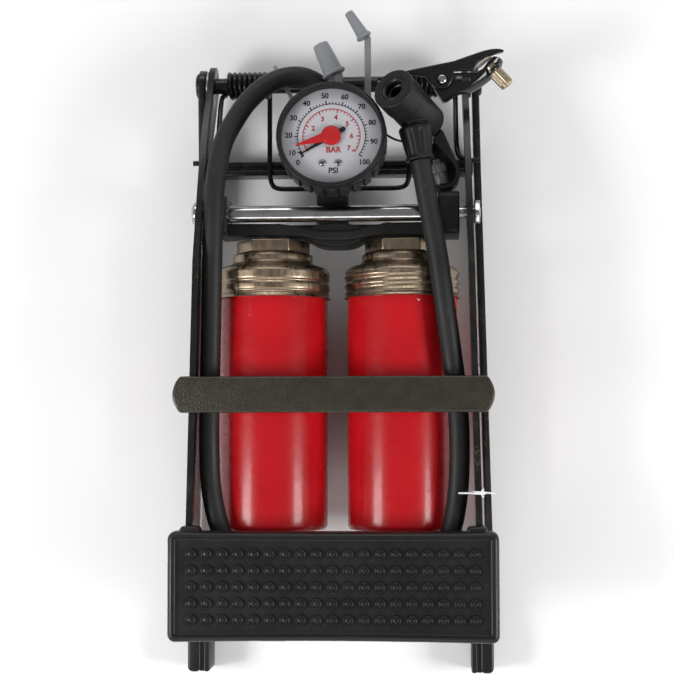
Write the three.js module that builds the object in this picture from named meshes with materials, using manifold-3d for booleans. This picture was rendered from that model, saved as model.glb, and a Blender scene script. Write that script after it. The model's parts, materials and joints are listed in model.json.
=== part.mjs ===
// A twin-cylinder foot air pump, folded flat as it is stored: a floor frame, a lever frame with a rubber
// pedal, two cylinders that swing on the lever, a pressure gauge, a hose with a lever chuck, and adapters.
// Millimetres, +Z up. X runs across the pump and +Y towards the hinge. The origin is on the floor, at the
// middle of the stand bar's underside.
import * as THREE from 'three';
import { mergeVertices } from 'three/addons/utils/BufferGeometryUtils.js';
import Module from 'manifold-3d';

const wasm = await Module();
wasm.setup();

// ---- driving dimensions ----
const GAP = 0.3; // between pieces that touch
const HINGE = { y: 41, z: 22, r: 4 }; // the axle that joins the lever frame to the floor frame
const CYLINDER_AXIS = { y: -28, z: 50 }; // the bolt that the cylinders swing on
const ROD_PIN = { y: -230, z: 14, r: 4 }; // the bar that the piston rods push against

const RAIL = { x: 68.7, thick: 3.5, half: 8, splay: 1.45, frontY: -246 };
const TOE = { from: -190, to: -220, by: 3.6, z: 11 }; // the rails' front ends are bent inwards, to the feet
const LEVER = { x: 63.5, thick: 3, half: 9.5, splay: 1.3, frontY: -222, top: 70.5 };

const BARREL = { x: 32, z: 35, r: 27, wall: 1.5, headY: -57.6, footY: -182 };
const CAP = { r: 28.4, ringR: 19.8, hexR: 18.4, ringY: -46.5, hexY: -39.9 };
const ROD = { r: 5, headY: -76, footY: -222 };

const PEDAL = { y: -206.3, width: 154.8, length: 51.6, top: 80, skirt: 66.5 };
const BRACE = { y: -116.5, width: 152, length: 17.2, thick: 4 };

const GAUGE = { x: -0.7, y: 5.2, pivotZ: 60.5, lean: 9, bottom: 51.5, top: 74.5, r: 26.5, dialR: 24 };
const HOSE_R = 4.9;
const CHUCK_R = 10.4;
const BOLT = { r: 3, headR: 6, nutR: 6.2 }; // the cylinders' bolt
const MANIFOLD = { bottom: 22, top: 48.2, front: -38.8, back: -32.2 };
const SPRING = { wire: 1.25, coil: 5.9, pitch: 2.55, turns: 8, innerX: 35.5 };

// ---- materials ----
function paint(color, roughness, metalness) {
  return new THREE.MeshStandardMaterial({ color, roughness, metalness });
}
const blackPaint = paint(0x141414, 0.35, 0.1);
const bronzePaint = paint(0x3c372d, 0.4, 0.4);
const redPaint = paint(0xc4161c, 0.2, 0.1);
const chrome = paint(0xc9c9c9, 0.15, 1);
const nickel = paint(0x9c9384, 0.25, 1);
const steel = paint(0x8d8f92, 0.35, 0.9);
const brass = paint(0xb89650, 0.3, 1);
const rubber = paint(0x1b1b1d, 0.8, 0);
const plastic = paint(0x19191b, 0.5, 0);
const greyPlastic = paint(0x8b9094, 0.55, 0);
const whitePlastic = paint(0xdedede, 0.4, 0);
const dialWhite = paint(0xd9dadc, 0.35, 0.2);
const pointerRed = paint(0xb81c1e, 0.4, 0);
const clearPlastic = paint(0xf2f6f8, 0.08, 0);

// ---- helpers ----
const pump = new THREE.Group();

function add(name, geometry, material, parent = pump) {
  const mesh = new THREE.Mesh(geometry, material);
  mesh.name = name;
  parent.add(mesh);
  return mesh;
}

function solid(geometry) {
  const bare = geometry.clone();
  bare.deleteAttribute('normal');
  bare.deleteAttribute('uv');
  const merged = mergeVertices(bare, 1e-4);
  const corners = merged.index.array;
  const kept = [];
  for (let i = 0; i < corners.length; i += 3) {
    const [a, b, c] = corners.slice(i, i + 3);
    if (a !== b && b !== c && c !== a) kept.push(a, b, c);
  }
  return new wasm.Manifold(new wasm.Mesh({
    numProp: 3,
    vertProperties: new Float32Array(merged.attributes.position.array),
    triVerts: new Uint32Array(kept),
  }));
}

function geometryOf(manifold) {
  const mesh = manifold.getMesh();
  const geometry = new THREE.BufferGeometry();
  geometry.setAttribute('position', new THREE.BufferAttribute(new Float32Array(mesh.vertProperties), 3));
  geometry.setIndex(new THREE.BufferAttribute(new Uint32Array(mesh.triVerts), 1));
  return geometry;
}

function cut(geometry, ...tools) {
  return geometryOf(tools.reduce((body, tool) => body.subtract(solid(tool)), solid(geometry)));
}

function join(...geometries) {
  return geometryOf(geometries.map(solid).reduce((body, piece) => body.add(piece)));
}

function box(x0, x1, y0, y1, z0, z1) {
  return new THREE.BoxGeometry(x1 - x0, y1 - y0, z1 - z0)
    .translate((x0 + x1) / 2, (y0 + y1) / 2, (z0 + z1) / 2);
}

// A bar between two points of one axis, round or with as many sides as are asked for.
function barX(x0, x1, y, z, r, sides = 24) {
  return new THREE.CylinderGeometry(r, r, x1 - x0, sides).rotateZ(-Math.PI / 2)
    .translate((x0 + x1) / 2, y, z);
}

function barY(y0, y1, x, z, r, sides = 24) {
  return new THREE.CylinderGeometry(r, r, y1 - y0, sides).translate(x, (y0 + y1) / 2, z);
}

function barZ(z0, z1, x, y, r, sides = 24, topR = r) {
  return new THREE.CylinderGeometry(topR, r, z1 - z0, sides).rotateX(Math.PI / 2)
    .translate(x, y, (z0 + z1) / 2);
}

// A profile of [radius, height] points turned about +Y.
function turned(profile, sides = 24) {
  return new THREE.LatheGeometry(profile.map(([r, h]) => new THREE.Vector2(r, h)), sides);
}

// A flat outline in the YZ plane, made thick along X.
function plateX(shape, x0, x1, curveSegments = 8) {
  const geometry = new THREE.ExtrudeGeometry(shape, { depth: x1 - x0, bevelEnabled: false, curveSegments });
  const turn = new THREE.Matrix4().makeBasis(
    new THREE.Vector3(0, 1, 0), new THREE.Vector3(0, 0, 1), new THREE.Vector3(1, 0, 0));
  return geometry.applyMatrix4(turn).translate(x0, 0, 0);
}

function plateZ(shape, z0, z1, curveSegments = 8) {
  return new THREE.ExtrudeGeometry(shape, { depth: z1 - z0, bevelEnabled: false, curveSegments })
    .translate(0, 0, z0);
}

function roundedRectangle(x0, x1, y0, y1, r) {
  const shape = new THREE.Shape();
  shape.moveTo(x0 + r, y0);
  shape.lineTo(x1 - r, y0);
  shape.absarc(x1 - r, y0 + r, r, -Math.PI / 2, 0, false);
  shape.lineTo(x1, y1 - r);
  shape.absarc(x1 - r, y1 - r, r, 0, Math.PI / 2, false);
  shape.lineTo(x0 + r, y1);
  shape.absarc(x0 + r, y1 - r, r, Math.PI / 2, Math.PI, false);
  shape.lineTo(x0, y0 + r);
  shape.absarc(x0 + r, y0 + r, r, Math.PI, 1.5 * Math.PI, false);
  return shape;
}

function tube(points, r, steps, sides = 10) {
  const section = new THREE.Shape();
  section.absarc(0, 0, r, 0, 2 * Math.PI, false);
  const knots = points.map((p) => new THREE.Vector3(...p));
  const curve = new THREE.CatmullRomCurve3(knots, false, 'centripetal');
  return new THREE.ExtrudeGeometry(section, { extrudePath: curve, steps, curveSegments: sides / 2 });
}

// The side outline of a strip of steel that follows a line of [y, z] points, with a round rear end.
function stripOutline(line, half) {
  const points = line.map(([y, z]) => new THREE.Vector2(y, z));
  const along = points.slice(1).map((p, i) => p.clone().sub(points[i]).normalize());
  const offset = (i, side) => {
    const before = along[Math.max(i - 1, 0)];
    const after = along[Math.min(i, along.length - 1)];
    const middle = before.clone().add(after).normalize();
    const normal = new THREE.Vector2(-middle.y, middle.x);
    return points[i].clone().addScaledVector(normal, (side * half) / middle.dot(after));
  };
  const first = points[0];
  const start = Math.atan2(along[0].x, -along[0].y); // the angle of the strip's lower side
  const shape = new THREE.Shape();
  shape.absarc(first.x, first.y, half, start, start + Math.PI, false);
  points.slice(1).forEach((_, i) => {
    const p = offset(i + 1, -1);
    shape.lineTo(p.x, p.y);
  });
  points.slice(1).forEach((_, i) => {
    const p = offset(points.length - 1 - i, 1);
    shape.lineTo(p.x, p.y);
  });
  return shape;
}

const SIDES = [['left', -1], ['right', 1]];

// A side strip stands on edge, and is splayed a little about the vertical line at the hinge.
function sideStrip(name, part, line, side, material, holes) {
  const shape = stripOutline(line, part.half);
  for (const [y, z, r] of holes) {
    const hole = new THREE.Path();
    hole.absarc(y, z, r, 0, 2 * Math.PI, true);
    shape.holes.push(hole);
  }
  const plate = plateX(shape, -part.thick / 2, part.thick / 2).translate(0, -HINGE.y, 0);
  const mesh = add(name, plate, material);
  mesh.rotation.z = side * THREE.MathUtils.degToRad(part.splay);
  mesh.position.set(side * part.x, HINGE.y, 0);
  return mesh;
}

// How far from the middle a strip's centre is at a given y.
function stripX(part, y) {
  return part.x + (HINGE.y - y) * Math.tan(THREE.MathUtils.degToRad(part.splay));
}

// ---- floor frame ----
const railLine = [[HINGE.y, HINGE.z], [4, 12.5], [-20, TOE.z], [TOE.from, TOE.z]];
for (const [word, side] of SIDES) {
  const rail = sideStrip(`base_rail_${word}`, RAIL, railLine, side, blackPaint, [
    [HINGE.y, HINGE.z, HINGE.r + GAP],
  ]);
  const outer = side * RAIL.thick / 2;
  const shift = side * TOE.by;
  const plan = new THREE.Shape([
    [outer, TOE.from], [outer - shift, TOE.to], [outer - shift, RAIL.frontY],
    [-outer - shift, RAIL.frontY], [-outer - shift, TOE.to], [-outer, TOE.from],
    [-outer, TOE.from + 1], [outer, TOE.from + 1],
  ].map(([x, y]) => new THREE.Vector2(x, y - HINGE.y)));
  rail.geometry = cut(
    join(rail.geometry, plateZ(plan, TOE.z - RAIL.half, TOE.z + RAIL.half)),
    barX(-10, 10, ROD_PIN.y - HINGE.y, ROD_PIN.z, ROD_PIN.r + GAP),
  );
}

const axleReach = RAIL.x + RAIL.thick / 2 + GAP;
add('hinge_axle', turned([
  [0, -axleReach - 1.4], [5.4, -axleReach - 1.4], [6.5, -axleReach - 0.7], [6.5, -axleReach],
  [HINGE.r, -axleReach], [HINGE.r, axleReach],
  [6.5, axleReach], [6.5, axleReach + 0.7], [5.4, axleReach + 1.4], [0, axleReach + 1.4],
], 24).rotateZ(-Math.PI / 2).translate(0, HINGE.y, HINGE.z), blackPaint);

const washerIn = LEVER.x + LEVER.thick / 2 + GAP;
const washerOut = RAIL.x - RAIL.thick / 2 - GAP;
for (const [word, side] of SIDES) {
  const [x0, x1] = side < 0 ? [-washerOut, -washerIn] : [washerIn, washerOut];
  add(`hinge_washer_${word}`, cut(barX(x0, x1, HINGE.y, HINGE.z, 7.5),
    barX(x0 - 1, x1 + 1, HINGE.y, HINGE.z, HINGE.r + GAP)), steel);
}

const standReach = stripX(RAIL, 0) - RAIL.thick / 2 - GAP - 0.1;
const STAND = { half: 3.6, top: 14.4 };
add('stand_bar', cut(box(-standReach, standReach, -STAND.half, STAND.half, 0, STAND.top),
  box(-standReach + 3, standReach - 3, -0.9, 0.9, STAND.top - 1.6, STAND.top + 1)), blackPaint);

const pinReach = stripX(RAIL, ROD_PIN.y) - TOE.by + RAIL.thick / 2 + 1.5;
add('rod_pin', barX(-pinReach, pinReach, ROD_PIN.y, ROD_PIN.z, ROD_PIN.r), steel);

// The boots on the rails' front ends reach further in than out.
const BOOT = { inset: 1.5, half: 5.5, front: -255, back: -236, top: 20 };
const bootSlot = RAIL.thick / 2 + GAP + 0.25; // a little wider than the rail
for (const [word, side] of SIDES) {
  const x = side * (stripX(RAIL, (BOOT.front + BOOT.back) / 2) - TOE.by - BOOT.inset);
  const outline = roundedRectangle(x - BOOT.half, x + BOOT.half, BOOT.front, BOOT.back, 3);
  const boot = plateZ(outline, 0, BOOT.top, 5);
  const slotHalf = RAIL.half + GAP;
  const slot = box(-bootSlot, bootSlot, RAIL.frontY - GAP, BOOT.back + 5, TOE.z - slotHalf, TOE.z + slotHalf)
    .translate(-side * TOE.by, -HINGE.y, 0)
    .rotateZ(side * THREE.MathUtils.degToRad(RAIL.splay)).translate(side * RAIL.x, HINGE.y, 0);
  add(`foot_boot_${word}`, cut(boot, slot), rubber);
}

// The spring's coils sit on the hinge axle. Their shared middle leg is a loop that bears on the stand bar.
// The coils' outer legs turn with the lever, so each of them is a node of its own.
function springPath() {
  const half = [];
  const steps = 8;
  const low = HINGE.z - SPRING.coil;
  for (let i = Math.round(SPRING.turns * steps); i >= 0; i -= 1) {
    const turn = (i / steps) * 2 * Math.PI;
    half.push([SPRING.innerX + (SPRING.pitch * i) / steps,
      HINGE.y - SPRING.coil * Math.sin(turn), HINGE.z - SPRING.coil * Math.cos(turn)]);
  }
  const leg = [[SPRING.innerX, 26, low + 0.3], [SPRING.innerX, 8, low + 0.2], [SPRING.innerX, -5, low],
    [SPRING.innerX - 2, -9.4, low], [SPRING.innerX - 7, -11, low]];
  half.push(...leg);
  const mirrored = half.slice().reverse().map(([x, y, z]) => [-x, y, z]);
  return [...half, ...mirrored];
}
const springPoints = springPath();
add('torsion_spring', tube(springPoints, SPRING.wire, springPoints.length - 1, 6), blackPaint);

// ---- lever frame ----
const leverLine = [[HINGE.y, HINGE.z], [9, 43], [-28, 54], [-54, LEVER.top - LEVER.half],
  [LEVER.frontY, LEVER.top - LEVER.half]];
const ARM_HOLE = { y: -2, z: 45 };
for (const [word, side] of SIDES) {
  sideStrip(`lever_bar_${word}`, LEVER, leverLine, side, blackPaint, [
    [HINGE.y, HINGE.z, HINGE.r + GAP],
    [CYLINDER_AXIS.y, CYLINDER_AXIS.z, BOLT.r + GAP],
    [ARM_HOLE.y, ARM_HOLE.z, 2.8],
  ]);
}

for (const [word, side] of SIDES) {
  const coilEnd = SPRING.innerX + SPRING.turns * SPRING.pitch + 2 * SPRING.wire + 0.4;
  const armLine = [
    [coilEnd, HINGE.y + 2.2, HINGE.z + 5.6], [coilEnd, 28, 32], [coilEnd, 14, 37.6],
    [coilEnd + 0.2, ARM_HOLE.y + 4.4, ARM_HOLE.z - 1.6], [coilEnd + 2.6, ARM_HOLE.y + 0.2, ARM_HOLE.z],
    [LEVER.x + 3.5, ARM_HOLE.y, ARM_HOLE.z], [LEVER.x + 7, ARM_HOLE.y, ARM_HOLE.z],
  ];
  const arm = tube(armLine.map(([x, y, z]) => [side * x, y, z]), SPRING.wire, 18, 8);
  add(`spring_arm_${word}`, arm, blackPaint);
}

const braceArc = 7;
const brace = new THREE.Shape();
const braceHalf = BRACE.width / 2 - braceArc / 2;
brace.moveTo(-braceHalf, BRACE.y - BRACE.length / 2);
brace.lineTo(braceHalf, BRACE.y - BRACE.length / 2);
brace.quadraticCurveTo(braceHalf + braceArc, BRACE.y, braceHalf, BRACE.y + BRACE.length / 2);
brace.lineTo(-braceHalf, BRACE.y + BRACE.length / 2);
brace.quadraticCurveTo(-braceHalf - braceArc, BRACE.y, -braceHalf, BRACE.y - BRACE.length / 2);
const braceBottom = LEVER.top + GAP;
add('cross_brace', plateZ(brace, braceBottom, braceBottom + BRACE.thick, 10), bronzePaint);

const PLATE = { thick: 2, inset: 3.4 };
const pedalX = PEDAL.width / 2;
const pedalY0 = PEDAL.y - PEDAL.length / 2;
const pedalY1 = PEDAL.y + PEDAL.length / 2;
add('pedal_plate', plateZ(roundedRectangle(-pedalX + PLATE.inset, pedalX - PLATE.inset,
  pedalY0 + PLATE.inset, pedalY1 - PLATE.inset, 3), braceBottom, braceBottom + PLATE.thick, 4), steel);

const padCeiling = braceBottom + PLATE.thick + GAP;
const padInset = PLATE.inset - GAP;
const padX = pedalX - padInset;
const padBack = pedalY1 - padInset;
add('pedal_pad', cut(
  plateZ(roundedRectangle(-pedalX, pedalX, pedalY0, pedalY1, 4.5), PEDAL.skirt, PEDAL.top, 5),
  box(-padX, padX, pedalY0 + padInset, padBack, PEDAL.skirt - 1, padCeiling),
  box(-padX, padX, padBack - 1, pedalY1 + 1, PEDAL.skirt - 1, LEVER.top + 0.1),
), rubber);

const boltX = stripX(LEVER, CYLINDER_AXIS.y);
const boltIn = boltX + LEVER.thick / 2 + GAP;
add('cylinder_bolt', turned([
  [0, -boltIn - 3.2], [BOLT.headR - 1, -boltIn - 3.2], [BOLT.headR, -boltIn - 2], [BOLT.headR, -boltIn],
  [BOLT.r, -boltIn], [BOLT.r, boltIn + 3.6], [0, boltIn + 3.6],
], 24).rotateZ(-Math.PI / 2).translate(0, CYLINDER_AXIS.y, CYLINDER_AXIS.z), chrome);
const boltHole = barX(-80, 80, CYLINDER_AXIS.y, CYLINDER_AXIS.z, BOLT.r + GAP);
add('cylinder_bolt_nut', cut(
  barX(boltIn + GAP, boltIn + 3.3, CYLINDER_AXIS.y, CYLINDER_AXIS.z, BOLT.nutR, 6), boltHole), chrome);

const TIE = { y: -163, half: 1.1, thick: 0.8 };
const tieX = stripX(LEVER, TIE.y);
const tieLow = LEVER.top - 2 * LEVER.half;
const tieShape = new THREE.Shape();
tieShape.moveTo(tieX - 9.2, LEVER.top - 0.6);
tieShape.lineTo(tieX - 9.2, LEVER.top + GAP + TIE.thick);
tieShape.lineTo(tieX + 8.6, LEVER.top + GAP + TIE.thick);
tieShape.lineTo(tieX + 8.6, LEVER.top + GAP);
tieShape.lineTo(tieX + 3.4, LEVER.top + GAP);
tieShape.lineTo(tieX + 3.4, tieLow - GAP - TIE.thick);
tieShape.lineTo(tieX - 3.2, tieLow - GAP - TIE.thick);
tieShape.lineTo(tieX - 3.2, tieLow - GAP);
tieShape.lineTo(tieX + 2.6, tieLow - GAP);
tieShape.lineTo(tieX + 2.6, LEVER.top + GAP);
tieShape.lineTo(tieX - 8.4, LEVER.top + GAP);
tieShape.lineTo(tieX - 8.4, LEVER.top - 0.6);
add('bundle_tie', new THREE.ExtrudeGeometry(tieShape, { depth: 2 * TIE.half, bevelEnabled: false })
  .rotateX(Math.PI / 2).translate(0, TIE.y + TIE.half, 0), whitePlastic);

// ---- cylinders, on the bolt ----
const earX = { left: [-57.6, -52.8], right: [49.8, 60.2] };
add('spacer_tube', cut(
  barX(earX.left[1] + GAP, earX.right[0] - GAP, CYLINDER_AXIS.y, CYLINDER_AXIS.z, 4), boltHole), chrome);

// The manifold is one moulding: a wavy bar across both cylinder heads, an ear at each end for the bolt, and
// an arm that runs under the spacer tube to the gauge.
const bar = new THREE.Shape();
bar.moveTo(earX.left[0], -39.2);
bar.lineTo(-16, -39.2);
bar.quadraticCurveTo(-12, -39.6, -10, -41.2);
bar.quadraticCurveTo(0, -45.6, 10, -41.2);
bar.quadraticCurveTo(12, -39.6, 16, -38.8);
bar.lineTo(earX.right[1], MANIFOLD.front);
bar.lineTo(earX.right[1], MANIFOLD.back);
bar.lineTo(24, MANIFOLD.back);
bar.quadraticCurveTo(16, -34, 12, -32);
bar.lineTo(-14, -32);
bar.quadraticCurveTo(-18, -34, -26, MANIFOLD.back);
bar.lineTo(earX.left[0], MANIFOLD.back);
const passages = [-1, 1].map((side) => barY(-60, -36, side * BARREL.x, BARREL.z, 4, 16));
add('manifold', cut(
  join(
    plateZ(bar, MANIFOLD.bottom, MANIFOLD.top, 6),
    plateX(roundedRectangle(MANIFOLD.front, -18.2, 26, 57, 4), ...earX.right, 4),
    plateX(roundedRectangle(MANIFOLD.front, -19.4, 30, 56, 4), ...earX.left, 4),
    box(-9.6, 6, -34, 18, 34, 44.8),
    barZ(44, GAUGE.bottom - 1.8, GAUGE.x, GAUGE.y - 1.4, 8, 20),
  ),
  boltHole, ...passages,
), plastic);

for (const [word, side] of SIDES) {
  const x = side * BARREL.x;
  add(`hex_neck_${word}`, cut(
    barY(CAP.ringY + GAP, CAP.hexY - GAP, 0, 0, CAP.hexR, 6).rotateY(Math.PI / 6).translate(x, 0, BARREL.z),
    barY(-60, -30, x, BARREL.z, 4, 16),
  ), nickel);
  const lip = CAP.r;
  const top = CAP.ringY;
  const bore = BARREL.r + GAP;
  const ringIn = CAP.ringR - 1.2;
  add(`head_cap_${word}`, turned([
    [4, top], [CAP.ringR - 1.4, top], [CAP.ringR, top - 1.2], [CAP.ringR, top - 4.6],
    [lip - 2.4, top - 7.4], [lip, top - 10], [lip, top - 18.6], [lip - 0.8, top - 20],
    [lip + 0.4, top - 22.4],
    [bore, top - 22.4], [bore, top - 9], [ringIn, top - 6.2], [ringIn, top - 1.4], [4, top - 1.4], [4, top],
  ].reverse()).translate(x, 0, BARREL.z), nickel);

  const inner = BARREL.r - BARREL.wall;
  add(`barrel_${word}`, turned([
    [BARREL.r, BARREL.headY], [inner, BARREL.headY], [inner, BARREL.footY + 1.5],
    [20.3, BARREL.footY + 1.5], [20.3, BARREL.footY], [BARREL.r - 1.5, BARREL.footY],
    [BARREL.r, BARREL.footY + 1.5], [BARREL.r, BARREL.headY],
  ]).translate(x, 0, BARREL.z), redPaint);
  const rodHole = ROD.r + 0.35;
  const foot = BARREL.footY;
  const flange = inner - 0.7;
  add(`rod_guide_${word}`, turned([
    [rodHole, foot - 1], [20, foot - 1], [20, foot + 1.8], [flange, foot + 1.8],
    [flange, foot + 6], [rodHole, foot + 6], [rodHole, foot - 1],
  ], 32).translate(x, 0, BARREL.z), plastic);
}

// ---- pistons and rods, which slide in the cylinders ----
for (const [word, side] of SIDES) {
  const x = side * BARREL.x;
  add(`piston_rod_${word}`, barY(ROD.footY, ROD.headY - 6, x, BARREL.z, ROD.r), steel);
  add(`piston_${word}`, cut(barY(ROD.headY - 5.7, ROD.headY + 4, x, BARREL.z, 24.2, 24),
    cut(barY(ROD.headY - 2.4, ROD.headY + 0.9, x, BARREL.z, 26, 24),
      barY(ROD.headY - 3, ROD.headY + 2, x, BARREL.z, 21.7, 24))), plastic);
  add(`piston_seal_${word}`, cut(barY(ROD.headY - 2.1, ROD.headY + 0.6, x, BARREL.z, 25.2, 24),
    barY(ROD.headY - 3, ROD.headY + 2, x, BARREL.z, 22, 24)), rubber);
  const hook = new THREE.Shape();
  hook.moveTo(ROD.footY - GAP, BARREL.z + 7);
  hook.lineTo(-232, BARREL.z + 7);
  hook.lineTo(-236.8, BARREL.z);
  hook.lineTo(-236.8, 9);
  hook.lineTo(-235, 9);
  hook.lineTo(-235, ROD_PIN.z + ROD_PIN.r + GAP);
  hook.lineTo(ROD.footY - GAP, ROD_PIN.z + ROD_PIN.r + GAP);
  add(`rod_hook_${word}`, plateX(hook, x - 6, x + 6), steel);
}

// ---- gauge ----
// It leans back towards the hinge, so its pieces stand in a group that is turned about a point on its axis.
const leaning = new THREE.Group();
leaning.position.set(GAUGE.x, GAUGE.y, GAUGE.pivotZ);
leaning.rotation.x = -THREE.MathUtils.degToRad(GAUGE.lean);
const gauge = new THREE.Group();
gauge.position.z = -GAUGE.pivotZ;
leaning.add(gauge);
pump.add(leaning);
const DIAL_Z = GAUGE.top - 5.4;
const lugs = [];
const LUGS = 18;
for (let i = 0; i < LUGS; i += 1) {
  const turn = (i / LUGS) * 2 * Math.PI;
  lugs.push(box(-2.1, 2.1, GAUGE.r - 1.2, GAUGE.r + 2, GAUGE.bottom - 1, DIAL_Z - 2.2).rotateZ(turn));
}
const { bottom: CASE_Z, top: RIM_Z, r: CASE_R, dialR: DIAL_R } = GAUGE;
add('gauge_housing', cut(turned([
  [0, CASE_Z], [CASE_R - 5, CASE_Z], [CASE_R - 0.8, CASE_Z + 4], [CASE_R - 0.4, DIAL_Z - 0.6],
  [DIAL_R + 0.2, DIAL_Z - 0.6], [DIAL_R - 0.2, CASE_Z + 5], [0, CASE_Z + 5],
], 36).rotateX(Math.PI / 2), ...lugs, barZ(CASE_Z - 1, CASE_Z + 6, 0, 0, 3.4)), plastic, gauge);
add('gauge_bezel', turned([
  [DIAL_R + 0.4, DIAL_Z - 0.3], [CASE_R, DIAL_Z - 0.3], [CASE_R, RIM_Z - 2], [CASE_R - 1, RIM_Z],
  [DIAL_R - 0.2, RIM_Z], [DIAL_R - 1, RIM_Z - 1], [DIAL_R - 1, RIM_Z - 1.6],
  [DIAL_R + 0.4, RIM_Z - 1.6], [DIAL_R + 0.4, DIAL_Z - 0.3],
], 36).rotateX(Math.PI / 2), plastic, gauge);
add('gauge_lens', barZ(RIM_Z - 3, RIM_Z - 1.9, 0, 0, DIAL_R, 32), clearPlastic, gauge);
add('gauge_dial', cut(
  barZ(DIAL_Z - 0.9, DIAL_Z, 0, 0, DIAL_R - 0.2, 32),
  barZ(GAUGE.pivotZ, RIM_Z, 0, 0, 1.2, 16),
), dialWhite, gauge);
add('gauge_movement', join(
  barZ(CASE_Z + 5.3, DIAL_Z - 4, 0, 0, 14, 24),
  barZ(GAUGE.pivotZ, DIAL_Z - 3.3, 0, 0, 3, 16),
  barZ(CASE_Z - 0.9, CASE_Z + 6, 0, 0, 3, 16),
), brass, gauge);

function needle(name, z0, z1, angle, tip, tail, hub, width, hole, material) {
  const blade = new THREE.Shape();
  blade.moveTo(-tail, -width);
  blade.lineTo(-tail, width);
  blade.lineTo(hub * 0.6, width);
  blade.lineTo(tip, 0.25);
  blade.lineTo(tip, -0.25);
  blade.lineTo(hub * 0.6, -width);
  const whole = join(plateZ(blade, z0, z1), barZ(z0, z1, 0, 0, hub, 24));
  const geometry = hole ? cut(whole, barZ(z0 - 1, z1 + 1, 0, 0, hole, 16)) : whole;
  return add(name, geometry.rotateZ(THREE.MathUtils.degToRad(angle)), material, gauge);
}
add('needle_shaft', barZ(DIAL_Z - 3, DIAL_Z + 2.2, 0, 0, 0.8, 16), brass, gauge);
needle('gauge_needle', DIAL_Z + 0.3, DIAL_Z + 0.8, 211, 16.4, 7.6, 2.6, 0.9, 1.1, blackPaint);
needle('set_pointer', DIAL_Z + 1.1, DIAL_Z + 1.7, 196, 17.4, 3, 4.8, 2.6, 1.1, pointerRed);

// ---- hose ----
// The route runs out of the manifold's arm, over the hinge, down the left flank, across under the pedal and
// back up the right flank to the chuck.
const HOSE = [
  [-1.8, 22.3, 40], [-2, 27, 40.2], [-7, 35.6, 42.6], [-16, 40.2, 45.4], [-26, 39.4, 48],
  [-35, 34.6, 50.4], [-43, 26.6, 52.6], [-49, 17, 55], [-54, 6, 58], [-57, -10, 61],
  [-58.1, -28, 62], [-58.8, -52, 61.4], [-59.4, -80, 60], [-60, -110, 59.2], [-60.4, -140, 58.6],
  [-59, -164, 58.4], [-53.6, -184, 58.6], [-43, -200, 58.8], [-27, -209, 59], [0, -211.5, 59],
  [27, -209, 59], [43.6, -200.4, 58.8], [54.2, -184, 58.6], [58.5, -164, 58.4], [59.5, -140, 58.8],
  [58.3, -116, 60], [55.3, -92, 62.4], [52.3, -70, 63.4], [49.6, -50, 62.8], [46.8, -34, 62],
  [44.1, -19, 61.4], [41.6, -4.6, 61],
];
add('hose', tube(HOSE, HOSE_R, 62, 8), rubber);
add('hose_fitting', cut(barY(18.3, 21.6, -1.8, 39.9, 4.6, 16), barY(10, 30, -1.8, 39.9, 2, 12)), brass);

// ---- chuck, on the hose's end ----
// Its body is a short cylinder that leans back, with the mouth uppermost. The neck and collar join it to
// the hose, and the thumb lever hangs from its lower end.
const MOUTH = [28.8, 28.2, 74];
const HEEL = [44.8, 15.6, 46.4];
const NECK = { x: 41.5, y: -3.9, z: 60, turn: THREE.MathUtils.degToRad(9) };

function between(from, to, r, sides = 24) {
  const start = new THREE.Vector3(...from);
  const way = new THREE.Vector3(...to).sub(start);
  const up = new THREE.Vector3(0, 1, 0);
  const lean = new THREE.Quaternion().setFromUnitVectors(up, way.clone().normalize());
  return new THREE.CylinderGeometry(r, r, way.length(), sides).translate(0, way.length() / 2, 0)
    .applyQuaternion(lean).translate(start.x, start.y, start.z);
}

function onNeck(geometry) {
  return geometry.rotateZ(NECK.turn).translate(NECK.x, NECK.y, NECK.z);
}

function part(from, to, share) {
  return from.map((value, i) => value + share * (to[i] - value));
}

const barrelOfChuck = between(HEEL, MOUTH, CHUCK_R);
add('chuck_collar', cut(
  onNeck(turned([[0, 0], [7.3, 0], [6.4, 1.6], [8.1, 14.6], [8.1, 15.6], [7, 16.8], [0, 16.8]], 16)),
  onNeck(barY(-1, 4, 0, 0, HOSE_R + GAP, 16)),
  onNeck(barY(-1, 20, 0, 0, 2, 12)),
  between(HEEL, MOUTH, CHUCK_R + GAP),
), plastic);
const chuckNeck = onNeck(cut(barY(17.1, 25, 0, 0, 6.6, 20), barY(17, 25, 0, 0, 2, 12)));
add('chuck_body', cut(join(barrelOfChuck, chuckNeck),
  between(part(HEEL, MOUTH, 0.55), part(HEEL, MOUTH, 1.1), 6.2)), plastic);
add('chuck_grommet', cut(between(part(HEEL, MOUTH, 0.56), part(HEEL, MOUTH, 0.985), 5.9),
  between(part(HEEL, MOUTH, 0.5), part(HEEL, MOUTH, 1.1), 4)), rubber);

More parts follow.
